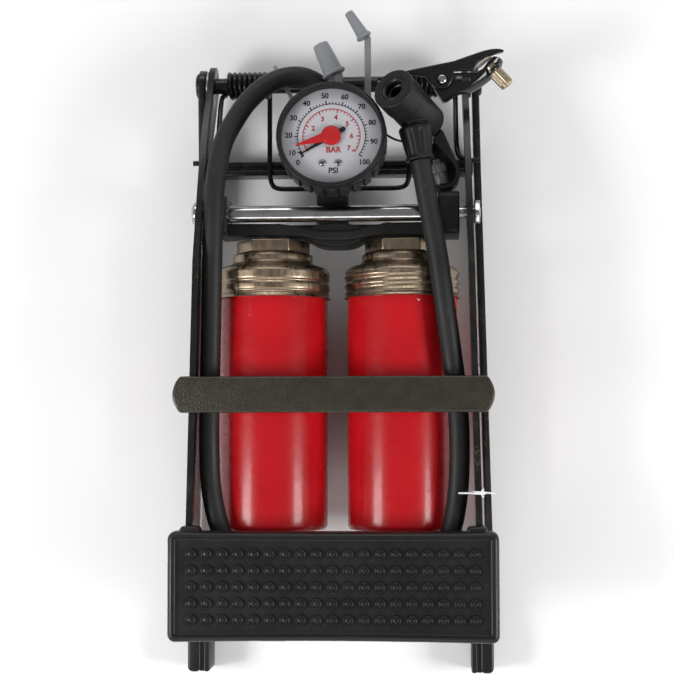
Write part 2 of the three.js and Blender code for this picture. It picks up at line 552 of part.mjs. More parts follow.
const thumb = new THREE.Shape();
thumb.moveTo(45.6, 4);
thumb.lineTo(50.4, 13.4);
thumb.lineTo(52.6, 11);
thumb.lineTo(58.6, -3);
thumb.quadraticCurveTo(61, -6.4, 60.4, -10);
thumb.quadraticCurveTo(59.6, -17, 52, -17);
thumb.lineTo(46.6, -16.4);
thumb.lineTo(45.8, -11);
const thumbHollow = new THREE.Shape();
thumbHollow.moveTo(40, 4);
thumbHollow.lineTo(47.6, 7.6);
thumbHollow.lineTo(55, -2.2);
thumbHollow.quadraticCurveTo(58.8, -5, 58.6, -9);
thumbHollow.quadraticCurveTo(58, -15.4, 51.4, -15.4);
thumbHollow.lineTo(40, -15);
add('chuck_lever', cut(plateZ(thumb, 38, 54, 5), plateZ(thumbHollow, 39.6, 55, 5),
  between(HEEL, MOUTH, CHUCK_R + 2 * GAP)), plastic);
add('valve_adapter', join(
  barY(-6, 0, 0, 0, 3.4, 16),
  barY(0, 5, 0, 0, 3.7, 16),
  barY(4.9, 7.2, 0, 0, 2.2, 16),
).rotateZ(THREE.MathUtils.degToRad(14)).translate(51, -8.6, 46.4), steel);

// ---- clip-on valve adapter, tied behind the chuck ----
const PIVOT = { x: 52.1, y: 34.8 };
const jaw = new THREE.Shape();
jaw.moveTo(52.8, 24.2);
jaw.quadraticCurveTo(57.5, 28.4, 63.3, 29.2);
jaw.quadraticCurveTo(68.6, 30.4, 73.6, 34.5);
jaw.quadraticCurveTo(79.4, 39.4, 81.6, 42.8);
jaw.quadraticCurveTo(83.2, 46.2, 81.2, 47.7);
jaw.lineTo(77.1, 46.6);
jaw.lineTo(74.3, 44.1);
jaw.lineTo(72, 40.9);
jaw.lineTo(68.8, 38.8);
jaw.lineTo(50.9, 38.7);
jaw.lineTo(47.5, 32.7);
const NIPPLE = { root: [74.8, 42.5, 55], tip: [84, 32.6, 55] };
const rivetHole = barZ(40, 70, PIVOT.x, PIVOT.y, 2.4, 12);
const jawSlot = box(58.2, 66, 34.6, 37.4, 40, 70);
add('clip_jaw', cut(plateZ(jaw, 51, 57.6, 5), rivetHole, between(NIPPLE.root, NIPPLE.tip, 3.5 + GAP, 16),
  jawSlot), blackPaint);
const grip = new THREE.Shape();
grip.moveTo(20.9, 34.4);
grip.lineTo(34.9, 38);
grip.lineTo(44, 36.4);
grip.quadraticCurveTo(48, 30.2, 52.1, 30.4);
grip.quadraticCurveTo(54.6, 30.6, 55.8, 32.4);
grip.quadraticCurveTo(57.4, 34, 57.8, 38.9);
grip.lineTo(67.4, 39.3);
grip.lineTo(69.2, 42.6);
grip.lineTo(73.4, 45.8);
grip.lineTo(81.4, 47.8);
grip.lineTo(82, 48.6);
grip.quadraticCurveTo(78, 50.6, 69.3, 47.6);
grip.lineTo(57.8, 43.7);
grip.lineTo(35.9, 39.5);
grip.lineTo(20.9, 36);
add('clip_lever', cut(plateZ(grip, 58, 61.6, 5), rivetHole), blackPaint);
add('clip_rivet', join(
  barZ(50.5, 62.2, PIVOT.x, PIVOT.y, 2, 16),
  barZ(61.9, 62.9, PIVOT.x, PIVOT.y, 3, 16),
  barZ(49.8, 50.7, PIVOT.x, PIVOT.y, 3, 16),
), steel);
add('clip_nipple', cut(join(between(NIPPLE.root, NIPPLE.tip, 3, 16),
  between(part(NIPPLE.root, NIPPLE.tip, 0.25), part(NIPPLE.root, NIPPLE.tip, 1), 3.5, 16)),
between(part(NIPPLE.root, NIPPLE.tip, 0.2), part(NIPPLE.root, NIPPLE.tip, 1.1), 1.4, 12)), brass);

// ---- cone nozzles on their straps, and the ball needle ----
function nozzle(name, x, y, z, turn, rootR, tipR, length, bore, strap) {
  const lip = rootR + 0.9;
  const cone = cut(turned([[0, 0], [lip, 0], [lip, 1.6], [rootR, 1.8], [tipR, length], [0, length]], 20),
    barY(-1, length + 1, 0, 0, bore, 12));
  cone.rotateZ(THREE.MathUtils.degToRad(turn)).translate(x, y, z);
  return add(name, join(cone, strap), greyPlastic);
}
const STRAP_Z = [45.6, 47.2];
nozzle('cone_nozzle_wide', -0.4, 40.4, 49.6, 25, 4.9, 3.9, 16.6, 2, box(0, 3.4, 26, 42, ...STRAP_Z));
nozzle('cone_nozzle_narrow', 14.4, 58.6, 48.6, 32, 3, 2.2, 15, 1.2,
  box(14.2, 17.4, 22, 60, ...STRAP_Z));
const needleTurn = THREE.MathUtils.degToRad(28);
add('ball_needle', cut(
  join(turned([[0, 0], [2.6, 0], [2.6, 3], [1, 4.4], [1, 22], [0, 22.6]], 14), barY(0.2, 3, 0, 0, 3.4, 6)),
  barY(-1, 3.5, 0, 0, 1.3, 10),
).rotateZ(needleTurn).translate(-20.4, 27.4, 39.6), greyPlastic);

export default pump;
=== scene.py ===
"""The foot air pump's looks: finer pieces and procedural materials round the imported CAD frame.

Lengths are in millimetres until a mesh is made, which then holds metres. X is across the pump, +Y towards
the hinge and +Z up, as in the CAD model.
"""

import json
import math

import bmesh
import bpy
from mathutils import Matrix, Vector


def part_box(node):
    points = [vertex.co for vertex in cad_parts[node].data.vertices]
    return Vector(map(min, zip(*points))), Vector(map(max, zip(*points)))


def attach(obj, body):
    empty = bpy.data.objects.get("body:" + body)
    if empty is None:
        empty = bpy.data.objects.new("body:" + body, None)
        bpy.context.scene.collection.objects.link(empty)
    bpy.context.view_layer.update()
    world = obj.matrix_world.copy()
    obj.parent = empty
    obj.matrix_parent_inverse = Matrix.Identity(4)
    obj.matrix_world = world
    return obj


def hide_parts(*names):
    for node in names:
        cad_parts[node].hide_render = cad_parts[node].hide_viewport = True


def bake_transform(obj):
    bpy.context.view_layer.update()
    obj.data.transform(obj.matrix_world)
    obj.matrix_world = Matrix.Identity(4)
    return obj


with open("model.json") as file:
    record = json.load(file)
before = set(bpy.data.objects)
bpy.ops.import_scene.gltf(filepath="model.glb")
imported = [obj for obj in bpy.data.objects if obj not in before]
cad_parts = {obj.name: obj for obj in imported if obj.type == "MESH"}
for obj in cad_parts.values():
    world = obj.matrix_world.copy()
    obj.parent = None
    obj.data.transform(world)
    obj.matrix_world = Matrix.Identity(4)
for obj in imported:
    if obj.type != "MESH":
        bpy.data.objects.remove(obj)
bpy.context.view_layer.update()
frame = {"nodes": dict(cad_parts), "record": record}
MM = 0.001


# ---- places that come from the frame ----
def low(node):
    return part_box(node)[0] / MM


def high(node):
    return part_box(node)[1] / MM


def middle(node):
    return (low(node) + high(node)) / 2


def size(node):
    return high(node) - low(node)


SIDES = {"left": -1, "right": 1}
HINGE = middle("hinge_axle")
BOLT = middle("spacer_tube")
BARRELS = {side: middle(f"barrel_{side}") for side in SIDES}
BARREL_R = size("barrel_left").x / 2
GAUGE_R = size("gauge_bezel").x / 2
# The point of the gauge's axis that the gauge leans about.
GAUGE_PIVOT = Vector((middle("gauge_bezel").x, 5.2, 60.5))

# ---- camera ----
# Nearly straight above the pump. The turn is in radians, and the sensor and the lens are in mm.
CAMERA_PLACE = Vector((49.5, -133.1, 859.3))
CAMERA_TURN = (0.0548, 0.0601, -0.0018)
SENSOR_WIDTH = 36
LENS_LENGTH = 89.3


def aim_camera():
    camera = bpy.data.objects.new("camera", bpy.data.cameras.new("camera"))
    bpy.context.scene.collection.objects.link(camera)
    camera.data.sensor_width = SENSOR_WIDTH
    camera.data.lens = LENS_LENGTH
    camera.data.clip_start = 0.05
    camera.data.clip_end = 10
    camera.location = CAMERA_PLACE * MM
    camera.rotation_euler = CAMERA_TURN
    bpy.context.scene.camera = camera


aim_camera()


# ---- materials ----
class Nodes:
    """A material's node tree, with the calls that the materials below share."""

    def __init__(self, name):
        self.material = bpy.data.materials.new(name)
        self.material.use_nodes = True
        self.tree = self.material.node_tree
        self.shader = self.tree.nodes["Principled BSDF"]
        self.place = self.node("ShaderNodeTexCoord").outputs["Object"]

    def node(self, kind, **settings):
        made = self.tree.nodes.new(kind)
        for key, value in settings.items():
            setattr(made, key, value)
        return made

    def put(self, socket, value):
        if hasattr(value, "is_output"):
            self.tree.links.new(value, socket)
        else:
            socket.default_value = value

    def stretched(self, scale):
        mapping = self.node("ShaderNodeMapping")
        self.put(mapping.inputs["Vector"], self.place)
        self.put(mapping.inputs["Scale"], scale)
        return mapping.outputs["Vector"]

    def noise(self, scale, detail=3.0, roughness=0.55, vector=None):
        noise = self.node("ShaderNodeTexNoise")
        self.put(noise.inputs["Vector"], vector or self.place)
        self.put(noise.inputs["Scale"], scale)
        self.put(noise.inputs["Detail"], detail)
        self.put(noise.inputs["Roughness"], roughness)
        return noise.outputs["Fac"]

    def cells(self, scale):
        cells = self.node("ShaderNodeTexVoronoi", feature="SMOOTH_F1")
        self.put(cells.inputs["Vector"], self.place)
        self.put(cells.inputs["Scale"], scale)
        return cells.outputs["Distance"]

    def ramp(self, value, start, end, low=0.0, high=1.0):
        ramp = self.node("ShaderNodeMapRange", interpolation_type="SMOOTHSTEP")
        self.put(ramp.inputs["Value"], value)
        self.put(ramp.inputs["From Min"], start)
        self.put(ramp.inputs["From Max"], end)
        self.put(ramp.inputs["To Min"], low)
        self.put(ramp.inputs["To Max"], high)
        return ramp.outputs["Result"]

    def math(self, operation, a, b):
        math_node = self.node("ShaderNodeMath", operation=operation)
        self.put(math_node.inputs[0], a)
        self.put(math_node.inputs[1], b)
        return math_node.outputs["Value"]

    def mix(self, share, a, b):
        # The node's sockets share their names, so the colour ones are found by number.
        mix = self.node("ShaderNodeMix", data_type="RGBA")
        self.put(mix.inputs[0], share)
        self.put(mix.inputs[6], a)
        self.put(mix.inputs[7], b)
        return mix.outputs[2]

    def edges(self, start, end):
        return self.ramp(self.node("ShaderNodeNewGeometry").outputs["Pointiness"], start, end)

    def bump(self, height, distance, below=None):
        bump = self.node("ShaderNodeBump")
        self.put(bump.inputs["Height"], height)
        self.put(bump.inputs["Distance"], distance)
        if below is not None:
            self.put(bump.inputs["Normal"], below)
        return bump.outputs["Normal"]

    def set(self, **values):
        """Sets shader inputs, whose names have underscores for spaces, and gives the finished material."""
        for key, value in values.items():
            self.put(self.shader.inputs[key.replace("_", " ")], value)
        return self.material


def grey(value):
    return (value, value, value, 1.0)


def shade(colour, factor):
    return tuple(min(1.0, c * factor) for c in colour[:3]) + (1.0,)


def black_enamel():
    n = Nodes("black_enamel")
    dust = n.noise(90, 5)
    patches = n.ramp(n.noise(45, 4), 0.5, 0.62)
    specks = n.math("MULTIPLY", n.ramp(n.noise(1100, 4), 0.56, 0.64), patches)
    colour = n.mix(dust, grey(0.004), grey(0.011))
    return n.set(
        Base_Color=n.mix(specks, colour, (0.075, 0.058, 0.036, 1)),
        Roughness=n.ramp(dust, 0.3, 0.7, 0.24, 0.4),
        Specular_IOR_Level=0.3,
        Coat_Weight=0.15,
        Coat_Roughness=0.12,
        Normal=n.bump(n.noise(700, 2), 0.00003),
    )


def spring_black():
    n = Nodes("spring_black")
    oil = n.noise(150, 4)
    return n.set(
        Base_Color=n.mix(oil, grey(0.004), grey(0.02)),
        Roughness=n.ramp(oil, 0.3, 0.7, 0.18, 0.4),
        Metallic=0.5,
        Normal=n.bump(n.noise(900, 2), 0.00002),
    )


def clip_enamel():
    n = Nodes("clip_enamel")
    dust = n.noise(150, 4)
    return n.set(
        Base_Color=n.mix(dust, grey(0.003), grey(0.007)),
        Roughness=n.ramp(dust, 0.3, 0.7, 0.16, 0.26),
        Specular_IOR_Level=0.5,
        Normal=n.bump(n.noise(700, 2), 0.00002),
    )


def hammered_bronze():
    n = Nodes("hammered_bronze")
    dimples = n.cells(1500)
    blotch = n.noise(150, 6)
    specks = n.ramp(n.noise(1300, 4), 0.56, 0.66, 0.0, 0.85)
    chips = n.math("MULTIPLY", n.edges(0.53, 0.58), n.ramp(n.noise(420, 5), 0.5, 0.58))
    base = n.mix(blotch, (0.021, 0.0175, 0.011, 1), (0.034, 0.029, 0.019, 1))
    return n.set(
        Base_Color=n.mix(chips, n.mix(specks, base, grey(0.005)), (0.42, 0.36, 0.27, 1)),
        Roughness=n.ramp(blotch, 0.3, 0.7, 0.3, 0.42),
        Specular_IOR_Level=0.35,
        Coat_Weight=0.2,
        Coat_Roughness=0.2,
        Normal=n.bump(dimples, 0.00018, n.bump(n.noise(2200, 3), 0.00006)),
    )


def red_enamel():
    n = Nodes("red_enamel")
    drift = n.noise(35, 4)
    chip = n.ramp(n.noise(210, 3, vector=n.stretched((1, 0.5, 1))), 0.745, 0.76)
    colour = n.mix(drift, (0.41, 0.004, 0.008, 1), (0.50, 0.008, 0.012, 1))
    return n.set(
        Base_Color=n.mix(chip, colour, (0.85, 0.45, 0.42, 1)),
        Roughness=n.ramp(n.noise(160, 4), 0.3, 0.7, 0.24, 0.34),
        Specular_IOR_Level=0.2,
        Coat_Weight=0.5,
        Coat_Roughness=0.14,
        Coat_IOR=1.3,
        Normal=n.bump(n.noise(700, 3), 0.00003),
    )


def bright_metal(name, dark, light, rough, stretch=(1, 1, 1), stain=0.25, relief=0.00003):
    n = Nodes(name)
    brushed = n.noise(500, 5, vector=n.stretched(stretch))
    stains = n.ramp(n.noise(120, 5), 0.45, 0.75)
    colour = n.mix(brushed, dark, light)
    return n.set(
        Base_Color=n.mix(n.math("MULTIPLY", stains, stain), colour, shade(dark, 0.45)),
        Metallic=1.0,
        Roughness=n.ramp(brushed, 0.3, 0.7, rough * 0.7, rough * 1.4),
        Normal=n.bump(brushed, relief),
    )


def moulded(name, dark, light, rough, grain, depth, dust=0.0, shine=0.25):
    n = Nodes(name)
    drift = n.noise(60, 5)
    colour = n.mix(drift, dark, light)
    specks = n.ramp(n.noise(900, 2), 0.66, 0.72, 0.0, dust)
    return n.set(
        Base_Color=n.mix(specks, colour, grey(0.4)),
        Roughness=n.ramp(drift, 0.3, 0.7, rough * 0.85, rough * 1.15),
        Specular_IOR_Level=shine,
        Normal=n.bump(n.noise(grain, 3), depth),
    )


def hose_rubber():
    n = Nodes("hose_rubber")
    smear = n.noise(120, 5, vector=n.stretched((1, 0.25, 1)))
    scuff = n.ramp(n.noise(420, 4), 0.6, 0.75, 0.0, 0.5)
    return n.set(
        Base_Color=n.mix(scuff, n.mix(smear, grey(0.009), grey(0.02)), grey(0.045)),
        Roughness=n.ramp(smear, 0.3, 0.7, 0.42, 0.6),
        Specular_IOR_Level=0.3,
        Normal=n.bump(n.noise(800, 3), 0.00004),
    )


def clear_lens():
    n = Nodes("clear_lens")
    haze = n.noise(40, 3)
    return n.set(
        Base_Color=grey(0.03),
        Roughness=n.ramp(haze, 0.3, 0.7, 0.03, 0.08),
        Alpha=0.06,
    )


def silver_dial():
    n = Nodes("dial_face")
    away = n.node("ShaderNodeVectorMath", operation="DISTANCE")
    n.put(away.inputs[0], n.place)
    n.put(away.inputs[1], tuple(GAUGE_PIVOT * MM))
    # Painted shade: the dial is painted darker towards its rim, where the bezel shades the sunken dial.
    edge = n.ramp(away.outputs["Value"], 0.017, 0.026)
    grain = n.noise(1800, 2)
    middle_silver = n.mix(grain, (0.56, 0.56, 0.6, 1), (0.62, 0.62, 0.66, 1))
    return n.set(
        Base_Color=n.mix(edge, middle_silver, (0.40, 0.40, 0.43, 1)),
        Roughness=n.ramp(grain, 0.3, 0.7, 0.35, 0.45),
        Metallic=0.1,
    )


def plain_ink(name, colour):
    n = Nodes(name)
    speck = n.noise(600, 3)
    return n.set(Base_Color=n.mix(speck, shade(colour, 0.8), shade(colour, 1.2)), Roughness=0.45)


# The darker and the lighter colour of the finishes that share a recipe and aren't plain grey.
NICKEL = ((0.27, 0.205, 0.145, 1), (0.32, 0.25, 0.18, 1))
BRASS = ((0.40, 0.33, 0.22, 1), (0.52, 0.44, 0.31, 1))
BLUE_GREY = ((0.19, 0.2, 0.215, 1), (0.25, 0.262, 0.28, 1))
POINTER_RED = ((0.48, 0.014, 0.016, 1), (0.58, 0.02, 0.024, 1))

MATERIALS = {
    "black_paint": black_enamel(),
    "spring_steel": spring_black(),
    "clip_black": clip_enamel(),
    "bronze_paint": hammered_bronze(),
    "red_paint": red_enamel(),
    "nickel": bright_metal("nickel", *NICKEL, 0.34, (1, 0.3, 1), 0.15, 0.000008),
    "chrome": bright_metal("chrome", grey(0.36), grey(0.5), 0.17, (0.1, 1, 1), 0.5),
    "zinc_steel": bright_metal("zinc_steel", grey(0.26), grey(0.38), 0.38),
    "dull_metal": moulded("dull_metal", grey(0.09), grey(0.13), 0.42, 900, 0.00002, 0.0, 0.9),
    "brass": bright_metal("brass", *BRASS, 0.36, (1, 1, 1), 0.1, 0.000002),
    "black_rubber": moulded("black_rubber", grey(0.006), grey(0.011), 0.4, 1300, 0.00003, 0.04, 0.36),
    "hose_rubber": hose_rubber(),
    "black_plastic": moulded("black_plastic", grey(0.008), grey(0.014), 0.42, 1600, 0.00004, 0.04),
    "grey_plastic": moulded("grey_plastic", *BLUE_GREY, 0.45, 900, 0.00003),
    "white_plastic": moulded("white_plastic", grey(0.7), grey(0.85), 0.4, 900, 0.00002),
    "dial_face": silver_dial(),
    "pointer_red": moulded("pointer_red", *POINTER_RED, 0.35, 900, 0.00001),
    "lens": clear_lens(),
    "black_ink": plain_ink("black_ink", (0.012, 0.012, 0.012)),
    "red_ink": plain_ink("red_ink", (0.42, 0.02, 0.02)),
}

for entry in frame["record"]["subparts"]:
    cad_node = frame["nodes"][entry["node"]]
    cad_node.data.materials.clear()
    cad_node.data.materials.append(MATERIALS[entry["material_slot"]])


# ---- mesh helpers ----
def piece(name, mesh, body, material, replaced=(), smooth=35):
    """Puts a finished mesh, in metres and in its place, on its body. material is a key of MATERIALS."""
    made = bpy.data.objects.new(name, mesh)
    bpy.context.scene.collection.objects.link(made)
    mesh.shade_smooth()
    mesh.set_sharp_from_angle(angle=math.radians(smooth))
    mesh.materials.clear()
    mesh.materials.append(MATERIALS[material])
    if body:
        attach(made, body)
    if replaced:
        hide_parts(*replaced)
    return made


def from_bmesh(name, bm):
    mesh = bpy.data.meshes.new(name)
    bm.to_mesh(mesh)
    bm.free()
    return mesh


def from_curve(name, curve):
    """The curve's surface as a mesh. The curve itself is removed."""
    holder = bpy.data.objects.new(name, curve)
    mesh = bpy.data.meshes.new_from_object(holder)
    bpy.data.objects.remove(holder)
    bpy.data.curves.remove(curve)
    return mesh


def gather(whole, mesh):
    """Adds the mesh to a bmesh that collects many, and removes it."""
    whole.from_mesh(mesh)
    bpy.data.meshes.remove(mesh)


def to_mesh(name, bm, place=Matrix.Identity(4)):
    """A bmesh in mm as a mesh in metres, carried to its place."""
    bmesh.ops.recalc_face_normals(bm, faces=bm.faces)
    mesh = from_bmesh(name, bm)
    mesh.transform(Matrix.Scale(MM, 4) @ place)
    return mesh


def build(name, bm, body, material, replaced=(), place=Matrix.Identity(4), **finish):
    """A piece straight from a bmesh in mm."""
    return piece(name, to_mesh(name, bm, place), body, material, replaced, **finish)


def turned(profile, steps=96, swell=None):
    """A bmesh of a profile of (radius, height) points turned about Z. swell adds to a point's radius."""
    bm = bmesh.new()
    rings = []
    for r, h in profile:
        if r == 0:
            rings.append([bm.verts.new((0, 0, h))])
            continue
        ring = []
        for i in range(steps):
            turn = 2 * math.pi * i / steps
            reach = r + swell(turn, r, h) if swell else r
            ring.append(bm.verts.new((reach * math.cos(turn), reach * math.sin(turn), h)))
        rings.append(ring)
    closed = profile[0] == profile[-1]
    pairs = list(zip(rings, rings[1:]))
    if closed:
        for vert in rings[-1]:
            bm.verts.remove(vert)
        pairs[-1] = (rings[-2], rings[0])
    for a, b in pairs:
        for i in range(steps):
            j = (i + 1) % steps
            corners = []
            for vert in (a[i % len(a)], a[j % len(a)], b[j % len(b)], b[i % len(b)]):
                if vert not in corners:
                    corners.append(vert)
            bm.faces.new(corners)
    return bm


def rounded(profile, r=0.4, steps=3):
    """The profile again, with each corner between its two ends made into a small curve."""
    result = [profile[0]]
    for before, corner, after in zip(profile, profile[1:], profile[2:]):
        c = Vector(corner)
        a, b = Vector(before) - c, Vector(after) - c
        if a.length < 1e-6 or b.length < 1e-6 or abs(a.angle(b, math.pi) - math.pi) < 0.2:
            result.append(corner)
            continue
        reach = min(r, a.length * 0.45, b.length * 0.45)
        p, q = c + a.normalized() * reach, c + b.normalized() * reach
        for i in range(steps + 1):
            t = i / steps
            point = p * (1 - t) ** 2 + c * 2 * t * (1 - t) + q * t**2
            result.append((max(point.x, 0), point.y))
    result.append(profile[-1])
    return result


def along(start, end):
    """The matrix that carries +Z at the origin to the line from start to end."""
    way = Vector(end) - Vector(start)
    return Matrix.Translation(Vector(start)) @ way.to_track_quat("Z", "Y").to_matrix().to_4x4()


def on_x(y, z):
    """Carries a shape turned about Z to the line along +X through y, z."""
    return Matrix.Translation((0, y, z)) @ Matrix.Rotation(math.pi / 2, 4, "Y")


def on_y(x, z):
    """Carries a shape turned about Z to the line along +Y through x, z."""
    return Matrix.Translation((x, 0, z)) @ Matrix.Rotation(-math.pi / 2, 4, "X")


def placed(x, y, z, turn):
    """Carries a shape turned about Z to a line that starts at a point and is turned off +Y, in degrees."""
    return Matrix.Translation((x, y, z)) @ Matrix.Rotation(math.radians(turn), 4, "Z") @ on_y(0, 0)


def plate(outlines, bottom, top, edge=0.4, edge_steps=3):
    """A bmesh of flat closed outlines, the later ones holes, thickened in Z with round edges."""
    curve = bpy.data.curves.new("plate", "CURVE")
    curve.dimensions = "2D"
    curve.fill_mode = "BOTH"
    for outline in outlines:
        spline = curve.splines.new("POLY")
        spline.points.add(len(outline) - 1)
        for point, (x, y) in zip(spline.points, outline):
            point.co = (x, y, 0, 1)
        spline.use_cyclic_u = True
    curve.extrude = (top - bottom) / 2 - edge
    curve.bevel_depth = edge
    curve.bevel_resolution = edge_steps
    curve.offset = -edge
    mesh = from_curve("plate", curve)
    mesh.transform(Matrix.Translation((0, 0, (top + bottom) / 2)))
    bm = bmesh.new()
    gather(bm, mesh)
    bmesh.ops.remove_doubles(bm, verts=bm.verts, dist=0.002)
    return bm


def arc(x, y, r, start, end, steps=12):
    turns = [math.radians(start + (end - start) * i / steps) for i in range(steps + 1)]
    return [(x + r * math.cos(t), y + r * math.sin(t)) for t in turns]


def rounded_box(x0, x1, y0, y1, r, steps=8):
    return (
        arc(x1 - r, y1 - r, r, 0, 90, steps)
        + arc(x0 + r, y1 - r, r, 90, 180, steps)
        + arc(x0 + r, y0 + r, r, 180, 270, steps)
        + arc(x1 - r, y0 + r, r, 270, 360, steps)
    )


def wire_mesh(name, points, r, sides=6, kind="NURBS"):
    """A round tube along points in mm, as a mesh in metres. NURBS smooths the line, and POLY doesn't."""
    curve = bpy.data.curves.new(name, "CURVE")
    curve.dimensions = "3D"
    spline = curve.splines.new(kind)
    spline.points.add(len(points) - 1)
    for point, co in zip(spline.points, points):
        point.co = (*(Vector(co) * MM), 1)
    if kind == "NURBS":
        spline.use_endpoint_u = True
        spline.order_u = 4
        spline.resolution_u = 4
    curve.bevel_depth = r * MM
    curve.bevel_resolution = sides
    curve.use_fill_caps = True
    return from_curve(name, curve)


def wire(name, points, r, sides, body, material, replaced=()):
    """A piece that is a thin bent wire."""
    return piece(name, wire_mesh(name, points, r, sides), body, material, replaced)


FLAT_ANGLE = math.radians(0.6)
SHARP_ANGLE = math.radians(30)


def refined(node, material, body, width=0.4, steps=2):
    """A copy of a CAD node with its flat faces joined up and its edges rounded."""
    bm = bmesh.new()
    bm.from_mesh(frame["nodes"][node].data)
    bmesh.ops.remove_doubles(bm, verts=bm.verts, dist=1e-6)
    bmesh.ops.dissolve_limit(bm, angle_limit=FLAT_ANGLE, verts=bm.verts, edges=bm.edges)
    sharp = [e for e in bm.edges if e.is_manifold and e.calc_face_angle(0) > SHARP_ANGLE]
    bmesh.ops.bevel(
        bm, geom=sharp, offset=width * MM, offset_type="OFFSET", segments=steps, profile=0.5,
        affect="EDGES", clamp_overlap=True,
    )
    name = f"{node}_fine"
    return piece(name, from_bmesh(name, bm), body, material, [node])


# ---- floor, light ----
# Each light: its place and the point it faces, in metres, its width and height, and its power.
LIGHTS = {
    "strip_left": ((-0.7, -0.3, 0.62), (0, -0.16, 0.03), 0.3, 0.3, 5.6),
    "strip_right": ((0.78, -0.3, 0.54), (0, -0.16, 0.03), 0.3, 0.3, 5.6),
    "softbox_back": ((0.0, 1.25, 0.7), (0, -0.05, 0.03), 1.4, 0.5, 7),
    "softbox_front": ((0.0, -1.5, 0.9), (0, -0.15, 0.03), 1.4, 0.4, 6),
}
WORLD_STRENGTH = 0.3


def add_light(name, place, target, width, height, power):
    light = bpy.data.lights.new(name, "AREA")
    light.shape = "RECTANGLE"
    light.size, light.size_y, light.energy = width, height, power
    holder = bpy.data.objects.new(name, light)
    bpy.context.scene.collection.objects.link(holder)
    holder.location = place
    holder.rotation_euler = (Vector(target) - Vector(place)).to_track_quat("-Z", "Y").to_euler()


def light_scene():
    scene = bpy.context.scene
    world = bpy.data.worlds.new("studio")
    scene.world = world
    world.use_nodes = True
    background = world.node_tree.nodes["Background"]
    background.inputs["Color"].default_value = (1, 1, 1, 1)
    background.inputs["Strength"].default_value = WORLD_STRENGTH

    bm = bmesh.new()
    bmesh.ops.create_grid(bm, x_segments=8, y_segments=8, size=4)
    mesh = from_bmesh("floor", bm)
    floor = bpy.data.objects.new("floor", mesh)
    scene.collection.objects.link(floor)
    n = Nodes("studio_floor")
    mesh.materials.append(n.set(Base_Color=n.mix(n.noise(3), grey(0.9), grey(0.93)), Roughness=0.8))

    for name, settings in LIGHTS.items():
        add_light(name, *settings)
    scene.view_settings.view_transform = "Standard"


light_scene()


# ---- hose ----
HOSE_R = 4.9
HOSE = [
    (-1.8, 22.3, 40), (-2, 27, 40.2), (-7, 35.6, 42.6), (-16, 40.2, 45.4), (-26, 39.4, 48),
    (-35, 34.6, 50.4), (-43, 26.6, 52.6), (-49, 17, 55), (-54, 6, 58), (-57, -10, 61),
    (-58.1, -28, 62), (-58.8, -52, 61.4), (-59.4, -80, 60), (-60, -110, 59.2), (-60.4, -140, 58.6),
    (-59, -164, 58.4), (-53.6, -184, 58.6), (-43, -200, 58.8), (-27, -209, 59), (0, -211.5, 59),
    (27, -209, 59), (43.6, -200.4, 58.8), (54.2, -184, 58.6), (58.5, -164, 58.4), (59.5, -140, 58.8),
    (58.3, -116, 60), (55.3, -92, 62.4), (52.3, -70, 63.4), (49.6, -50, 62.8), (46.8, -34, 62),
    (44.1, -19, 61.4), (41.6, -4.6, 61),
]


def catmull(points, steps):
    """More points on the smooth line through the given ones."""
    line = [Vector(p) for p in points]
    line = [line[0] * 2 - line[1], *line, line[-1] * 2 - line[-2]]
    result = []
    for a, b, c, d in zip(line, line[1:], line[2:], line[3:]):
        for i in range(steps):
            t = i / steps
            bend = (2 * a - 5 * b + 4 * c - d) * t**2 + (3 * b - a - 3 * c + d) * t**3
            result.append(0.5 * (2 * b + (c - a) * t + bend))
    result.append(line[-2])
    return result


def make_hose():
    line = catmull(HOSE, 5)
    mesh = wire_mesh("hose_tube", line, HOSE_R, 8, kind="POLY")
    return piece("hose_tube", mesh, "cylinders", "hose_rubber", ["hose"], smooth=60), line


hose, hose_line = make_hose()


# ---- floor frame ----
AXLE_R = 4
AXLE_HEAD = 1.4
# A boot is three blocks side by side. Each starts and ends so far inwards from the boot's outer face, with
# its front set back and its top lowered by the next two numbers, and then its corners' and edges' radius.
BOOT_BLOCKS = (
    (0, 6.6, 1, 0, 2.6, 1.2),
    (5.2, 9.2, 1.3, 1.2, 1.2, 0.6),
    (8.0, 11, 1.1, 0.5, 1.3, 0.7),
)


def make_floor_frame():
    for side in SIDES:
        refined(f"base_rail_{side}", "black_paint", "base", 0.5)
        refined(f"hinge_washer_{side}", "zinc_steel", "base", 0.3)
    refined("stand_bar", "black_paint", "base", 1.0, 3)
    end = high("hinge_axle").x
    half = [(AXLE_R, end - AXLE_HEAD), (6.5, end - AXLE_HEAD), (6.3, end - 0.6), (5.2, end), (0, end)]
    profile = [(r, -x) for r, x in reversed(half)] + half
    rivet = turned(rounded(profile, 0.7), 40)
    build("hinge_rivet", rivet, "base", "black_paint", ["hinge_axle"], on_x(HINGE.y, HINGE.z))


def make_foot(word, side):
    boot = f"foot_boot_{word}"
    lo, hi = low(boot), high(boot)
    outer = lo.x if side < 0 else hi.x
    for number, (start, end, front, drop, r, edge) in enumerate(BOOT_BLOCKS):
        x0, x1 = sorted((outer - side * start, outer - side * end))
        block = plate([rounded_box(x0, x1, lo.y + front, hi.y, r)], 0, hi.z - drop, edge)
        build(f"foot_{word}_{number}", block, "base", "black_rubber", [boot])


make_floor_frame()
for side_word, sign in SIDES.items():
    make_foot(side_word, sign)


# ---- torsion spring ----
WIRE_R = 1.25
COIL_R = 5.9
COIL_PITCH = 2.55
COIL_TURNS = 8
COIL_IN = 35.5
COIL_STEPS = 20


